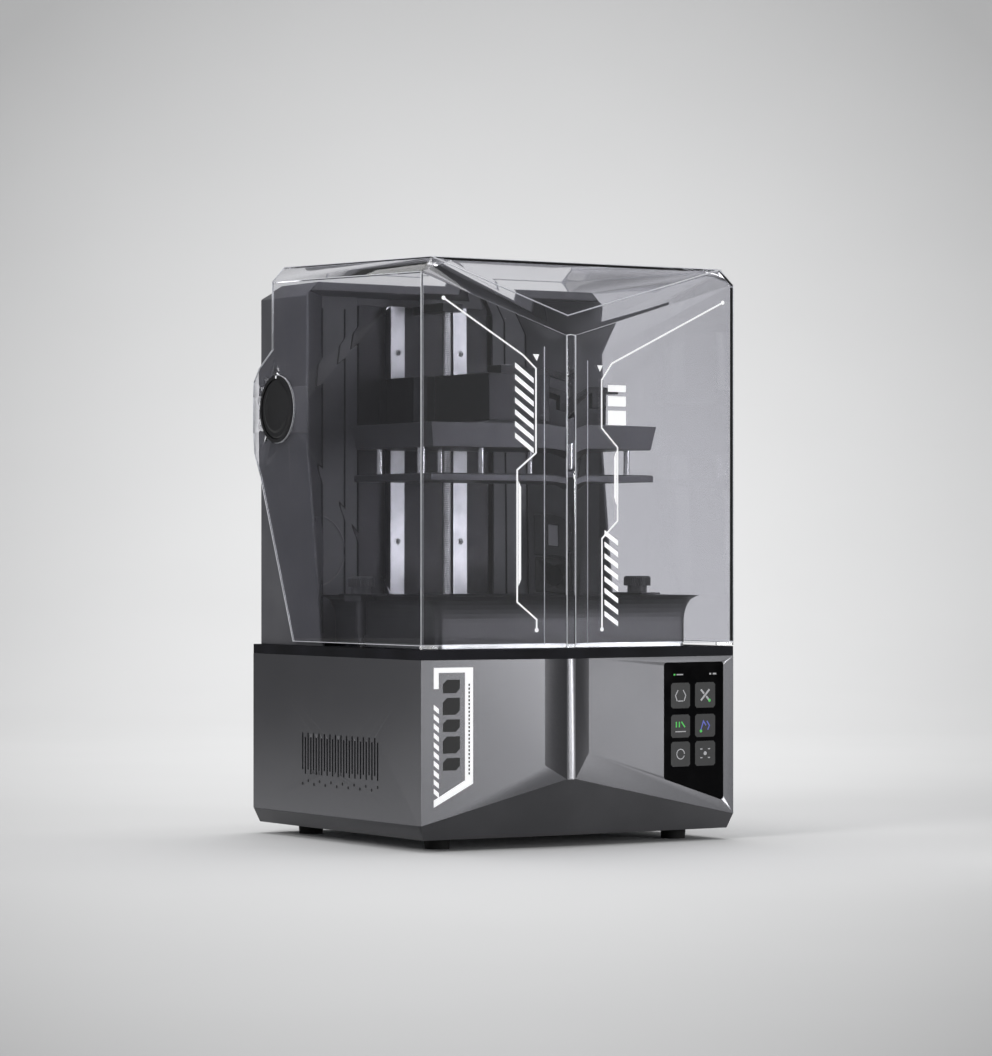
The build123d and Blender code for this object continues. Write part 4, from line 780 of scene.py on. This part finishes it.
touch = {
    "columns": [(94.1, 116.3), (122.2, 145.8)], "rows": [(121.9, 145.2), (95.1, 116.1), (68.7, 91.4)],
    "tileCut": 2.0, "statusZ": 152.6,
    # lines from each tile's middle, by row and column: ink, points and width
    "lines": {
        (0, 0): [("pale", [(-4, -5), (-6, 0), (-3, 5)], 0.9), ("pale", [(4, -5), (6, 0), (3, 5)], 0.9),
                 ("pale", [(-3, -5), (3, -5)], 0.9)],
        (0, 1): [("pale", [(-5, -5), (5, 5)], 1.8), ("pale", [(-5, 5), (-1.2, 1.2)], 1.8),
                 ("pale", [(1.2, -1.2), (5, -5)], 1.8)],
        (1, 0): [("green", [(-5, 4), (-5, -1)], 1.2), ("green", [(-1.5, 4), (-1.5, -1)], 1.2),
                 ("green", [(1, 4), (5, -1)], 1.2), ("pale", [(-6, -5), (6, -5)], 0.9)],
        (1, 1): [("violet", [(-5, -4), (-2, 4), (1, 0)], 1.1), ("violet", [(2, 4), (5, 0), (3, -4)], 1.1)],
        (2, 0): [("pale", [(4.5 * cos(radians(a)), 4.5 * sin(radians(a))) for a in range(0, 341, 20)], 0.8)],
        (2, 1): [("pale", [(x - 1.2, z), (x + 1.2, z)], 1.0) for x in (-4.5, 4.5) for z in (4, -4)],
    },
    # dots in the same way: ink, place, radius and sides
    "dots": {(0, 1): ("green", 5, -5, 1.5, 10), (1, 1): ("green", -5, -5, 1.4, 10),
             (2, 1): ("pale", 0, 0, 1.8, 12)},
    # marks in the top line: ink, left, right, below and above
    "status": [("green", 97.0, 99.0, 0.6, 0.8), ("pale", 100.5, 108.0, 0.4, 0.6),
               ("pale", 139.0, 141.0, 0.4, 1.0), ("pale", 143.0, 147.0, 0.4, 1.0)],
}


def screenMarks():
    # dim tiles with plain symbols, and small status marks above them
    tiles = []
    marks = {"pale": [], "green": [], "violet": []}
    cut = touch["tileCut"]
    for row, (z0, z1) in enumerate(touch["rows"]):
        for column, (x0, x1) in enumerate(touch["columns"]):
            tiles.append([(x0 + cut, z0), (x1 - cut, z0), (x1, z0 + cut), (x1, z1 - cut),
                          (x1 - cut, z1), (x0 + cut, z1), (x0, z1 - cut), (x0, z0 + cut)])
            cx, cz = (x0 + x1) / 2, (z0 + z1) / 2
            for ink, points, width in touch["lines"][row, column]:
                marks[ink].append(strokeOutline([(cx + x, cz + z) for x, z in points], width))
            if (row, column) in touch["dots"]:
                ink, x, z, radius, sides = touch["dots"][row, column]
                marks[ink].append(discOutline(cx + x, cz + z, radius, sides))
    for ink, x0, x1, below, above in touch["status"]:
        marks[ink].append(boxOutline(x0, touch["statusZ"] - below, x1, touch["statusZ"] + above))
    printOn("right", "screenTiles", tiles, "tileInk", "printer")
    for ink, outlines in marks.items():
        printOn("right", "screen" + ink.title() + "Marks", outlines, ink + "Icon", "printer",
                shape["printThickness"])


screenMarks()
print("screen marks made")


def ventDots():
    # a staggered row of small dark dimples under the air slots, on both sides
    sizes = {"count": 14, "span": 69.0, "z": 54.0, "r": 1.5, "deep": 0.2, "stagger": 3.0}
    mesh = bmesh.new()
    pitch = 2 * sizes["span"] / (sizes["count"] - 1)
    for side in (-1, 1):
        for i in range(sizes["count"]):
            y = -sizes["span"] + i * pitch
            z = sizes["z"] - (sizes["stagger"] if i % 2 else 0)
            turn = Matrix.Rotation(radians(90), 4, "Y")
            addRod(mesh, sizes["r"] * mm, sizes["deep"] * mm, 16,
                   Matrix.Translation((side * halfWidth, y * mm, z * mm)) @ turn)
    keep("ventDimples", mesh, "blackInk", "printer")


ventDots()


def ventFilters():
    # black foam pads behind the air slots
    sizes = {"half": 72.0, "low": 56.0, "high": 102.0, "thick": 2.0, "behind": 3.6}
    mesh = bmesh.new()
    x = halfWidth - (sizes["behind"] + sizes["thick"] / 2) * mm
    for side in (-1, 1):
        addBox(mesh, (side * x, 0, (sizes["low"] + sizes["high"]) / 2 * mm),
               (sizes["thick"] * mm, 2 * sizes["half"] * mm, (sizes["high"] - sizes["low"]) * mm))
    easeEdges(mesh, 0.4, 2)
    keep("ventFilters", mesh, "footRubber", "printer")


ventFilters()


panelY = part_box("rail_left")[0].y + 6 * mm  # the rails stand 6 mm proud of the tower's panel


def towerRibs():
    # upright moulded ribs on the tower's inner face, either side of the column slot
    sizes = {"places": (-112.0, -87.7, 87.7, 112.0), "width": 1.6, "proud": 1.0, "above": 10.0, "below": 20.0}
    low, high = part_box("tower_housing")
    z0, z1 = low.z + sizes["above"] * mm, high.z - sizes["below"] * mm
    mesh = bmesh.new()
    for x in sizes["places"]:
        addBox(mesh, (x * mm, panelY - sizes["proud"] * mm / 2, (z0 + z1) / 2),
               (sizes["width"] * mm, sizes["proud"] * mm, z1 - z0))
    easeEdges(mesh, 0.3, 1)
    keep("towerRibs", mesh, "deckPlastic", "printer")


towerRibs()


def chamberTrim():
    # a ring moulded in the back panel round the air filter, and a raised mount inside each hinge
    sizes = {"ringX": -122.0, "ringZ": 266.0, "ringR": 35.0, "ringWide": 1.3, "proud": 0.8,
             "mount": (64.0, 100.0, 375.0, 418.0), "mountProud": 1.2}
    mesh = bmesh.new()
    ring = bmesh.ops.create_circle(mesh, cap_ends=True, segments=72, radius=sizes["ringR"] * mm)
    middle = ring["verts"][0].link_faces[0]
    bmesh.ops.inset_individual(mesh, faces=[middle], thickness=sizes["ringWide"] * mm)
    bmesh.ops.delete(mesh, geom=[middle], context="FACES_ONLY")
    liftFaces(mesh, mesh.faces[:], sizes["proud"] * mm)
    place = Matrix.Translation((sizes["ringX"] * mm, panelY, sizes["ringZ"] * mm))
    bmesh.ops.transform(mesh, matrix=place @ Matrix.Rotation(radians(90), 4, "X"), verts=mesh.verts)
    bmesh.ops.recalc_face_normals(mesh, faces=mesh.faces)
    keep("filterRing", mesh, "cheekPlastic", "printer")
    y0, y1, z0, z1 = (v * mm for v in sizes["mount"])
    proud = sizes["mountProud"] * mm
    mesh = bmesh.new()
    for side in (-1, 1):
        addBox(mesh, (side * (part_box("tower_housing")[1].x + proud / 2), (y0 + y1) / 2, (z0 + z1) / 2),
               (proud, y1 - y0, z1 - z0))
    easeEdges(mesh, 0.5, 2)
    keep("hingeMounts", mesh, "cheekPlastic", "printer")


chamberTrim()
print("small trim made")

view = {
    "place": (-1.9375, -3.1246, 0.261), "turn": (90.0, 0.0, -31.8), "lens": 134.56, "shift": 0.0265,
    "sensor": 36.0, "clipEnd": 50.0,
}
camera = bpy.data.objects.new("viewCamera", bpy.data.cameras.new("viewCamera"))
camera.location = view["place"]
camera.rotation_euler = [radians(a) for a in view["turn"]]
camera.data.lens = view["lens"]
camera.data.sensor_width = view["sensor"]
camera.data.shift_y = view["shift"]
camera.data.clip_end = view["clipEnd"]
bpy.context.scene.collection.objects.link(camera)
bpy.context.scene.camera = camera


def stageMesh(name, mesh, material):
    # something that stands round the object and isn't part of it
    data = bpy.data.meshes.new(name)
    mesh.to_mesh(data)
    mesh.free()
    data.materials.append(material)
    stand = bpy.data.objects.new(name, data)
    bpy.context.scene.collection.objects.link(stand)
    return stand


def paperWithPaintedShade(settings):
    # matt background paper with a faint mottle and painted shade, darker towards the edges of the main view;
    # that painted shade is worked out from where the main camera stands, so it suits that one view
    material, tree, shader, place = startMaterial("studioPaper", {"Roughness": 0.9, "Specular IOR Level": 0.1})
    mottle = addNode(tree, "ShaderNodeTexNoise", {"Scale": 3.0}, {"Vector": place})
    paper = twoTone(tree, mottle.outputs["Fac"], "#dcdcdc", "#e0e0e0")
    turned = addNode(tree, "ShaderNodeMapping", {"Rotation": (0, 0, -radians(settings["turn"]))},
                     {"Vector": place})
    split = addNode(tree, "ShaderNodeSeparateXYZ", {}, {0: turned.outputs[0]})
    reach = addNode(tree, "ShaderNodeMath", {"operation": "ADD", 1: settings["cameraAway"]},
                    {0: split.outputs["Y"]})
    rise = addNode(tree, "ShaderNodeMath", {"operation": "SUBTRACT", 1: settings["cameraZ"]},
                   {0: split.outputs["Z"]})
    aside, above = [addNode(tree, "ShaderNodeMath", {"operation": "DIVIDE"}, {0: offset, 1: reach.outputs[0]})
                    for offset in (split.outputs["X"], rise.outputs[0])]
    pair = addNode(tree, "ShaderNodeCombineXYZ", {}, {0: aside.outputs[0], 1: above.outputs[0]}).outputs[0]
    away = addNode(tree, "ShaderNodeVectorMath", {"operation": "DOT_PRODUCT"}, {0: pair, 1: pair})
    # painted shade: the sheet darkens with its angle from the main camera's axis
    shade = spread(tree, away.outputs["Value"], 0.0, 1.0, 0.0, settings["shadeFull"])
    paintedShadeMix = addNode(tree, "ShaderNodeMix", {"data_type": "RGBA", "blend_type": "MULTIPLY",
                                             7: linear(settings["edgeShadeTone"])}, {0: shade, 6: paper})
    tree.links.new(paintedShadeMix.outputs[2], shader.inputs["Base Color"])
    return material


def studio():
    # one pale sheet, flat under the object and curved up behind it
    # turn, cameraAway, cameraZ, shadeFull and edgeShadeTone set the painted shade on the sheet
    sizes = {"front": 6.0, "back": 2.2, "bend": 2.4, "tall": 4.0, "half": 7.0, "steps": 16,
             "turn": -31.8, "cameraAway": 3.68, "cameraZ": 0.261, "shadeFull": 0.032, "edgeShadeTone": "#d1d1d1"}
    mesh = bmesh.new()
    profile = [(-sizes["front"], 0.0), (sizes["back"], 0.0)]
    for i in range(1, sizes["steps"] + 1):
        angle = pi / 2 * i / sizes["steps"]
        profile.append((sizes["back"] + sizes["bend"] * sin(angle), sizes["bend"] * (1 - cos(angle))))
    profile.append((sizes["back"] + sizes["bend"], sizes["bend"] + sizes["tall"]))
    verts = [mesh.verts.new((-sizes["half"], y, z)) for y, z in profile]
    edges = [mesh.edges.new(pair) for pair in zip(verts, verts[1:])]
    swept = bmesh.ops.extrude_edge_only(mesh, edges=edges)
    moved = [v for v in swept["geom"] if isinstance(v, bmesh.types.BMVert)]
    bmesh.ops.translate(mesh, verts=moved, vec=(2 * sizes["half"], 0, 0))
    bmesh.ops.rotate(mesh, verts=mesh.verts, cent=(0, 0, 0),
                     matrix=Matrix.Rotation(radians(sizes["turn"]), 3, "Z"))
    bmesh.ops.recalc_face_normals(mesh, faces=mesh.faces)
    sheet = stageMesh("studioSheet", mesh, paperWithPaintedShade(sizes))
    for face in sheet.data.polygons:
        face.use_smooth = True


studio()


def sideCards():
    # two cards that keep the left side from mirroring the bright sheet: dark below, grey above
    sizes = {"x": -0.76, "y": 1.66, "wide": 0.9, "thick": 0.02, "turn": 29.0}
    cards = {"darkCard": (0.07, 0.13, "cardFelt"), "greyCard": (0.62, 0.94, "greyFelt")}
    for name, (z, tall, finish) in cards.items():
        mesh = bmesh.new()
        addBox(mesh, (0, 0, 0), (sizes["wide"], sizes["thick"], tall))
        place = Matrix.Translation((sizes["x"], sizes["y"], z))
        bmesh.ops.transform(mesh, matrix=place @ Matrix.Rotation(radians(sizes["turn"]), 4, "Z"),
                            verts=mesh.verts)
        card = stageMesh(name, mesh, finishes[finish])
        card.visible_camera = False  # it is only there to be mirrored


sideCards()

lights = {
    "overhead": {"place": (0.5, 0.9, 3.2), "aim": (0.5, 0.9, 0), "size": (3.0, 3.0), "power": 95},
    "tallStrip": {
        "place": (1.25, -1.88, 0.36), "aim": (-0.02, -0.16, 0.28), "size": (0.2, 0.72), "power": 9},
    "lowStrip": {
        "place": (0.74, -1.95, 0.075), "aim": (-0.02, -0.16, 0.075), "size": (0.42, 0.11), "power": 2.0},
    "nearStrip": {
        "place": (0.371, -0.637, 0.09), "aim": (0.01, -0.158, 0.09), "size": (0.08, 0.13), "power": 0.3},
    "leftSoft": {"place": (-3.2, -0.9, 1.9), "aim": (0, 0, 0.25), "size": (1.2, 1.6), "power": 44},
    "backGlow": {"place": (1.0, 1.6, 2.3), "aim": (2.2, 3.6, 0.8), "size": (0.8, 0.8), "power": 14},
}
for name, settings in lights.items():
    lamp = bpy.data.lights.new(name, "AREA")
    lamp.shape = "RECTANGLE"
    lamp.size, lamp.size_y = settings["size"]
    lamp.energy = settings["power"]
    holder = bpy.data.objects.new(name, lamp)
    holder.location = settings["place"]
    aim = Vector(settings["aim"]) - holder.location
    holder.rotation_euler = aim.to_track_quat("-Z", "Y").to_euler()
    bpy.context.scene.collection.objects.link(holder)

room = {"colour": "#f2f3f5", "strength": 0.42}
world = bpy.data.worlds.new("softRoom")
world.use_nodes = True
glow = world.node_tree.nodes["Background"]
glow.inputs["Color"].default_value = linear(room["colour"])
glow.inputs["Strength"].default_value = room["strength"]
bpy.context.scene.world = world
bpy.context.scene.view_settings.view_transform = "Standard"
print("camera, sheet and lights placed")
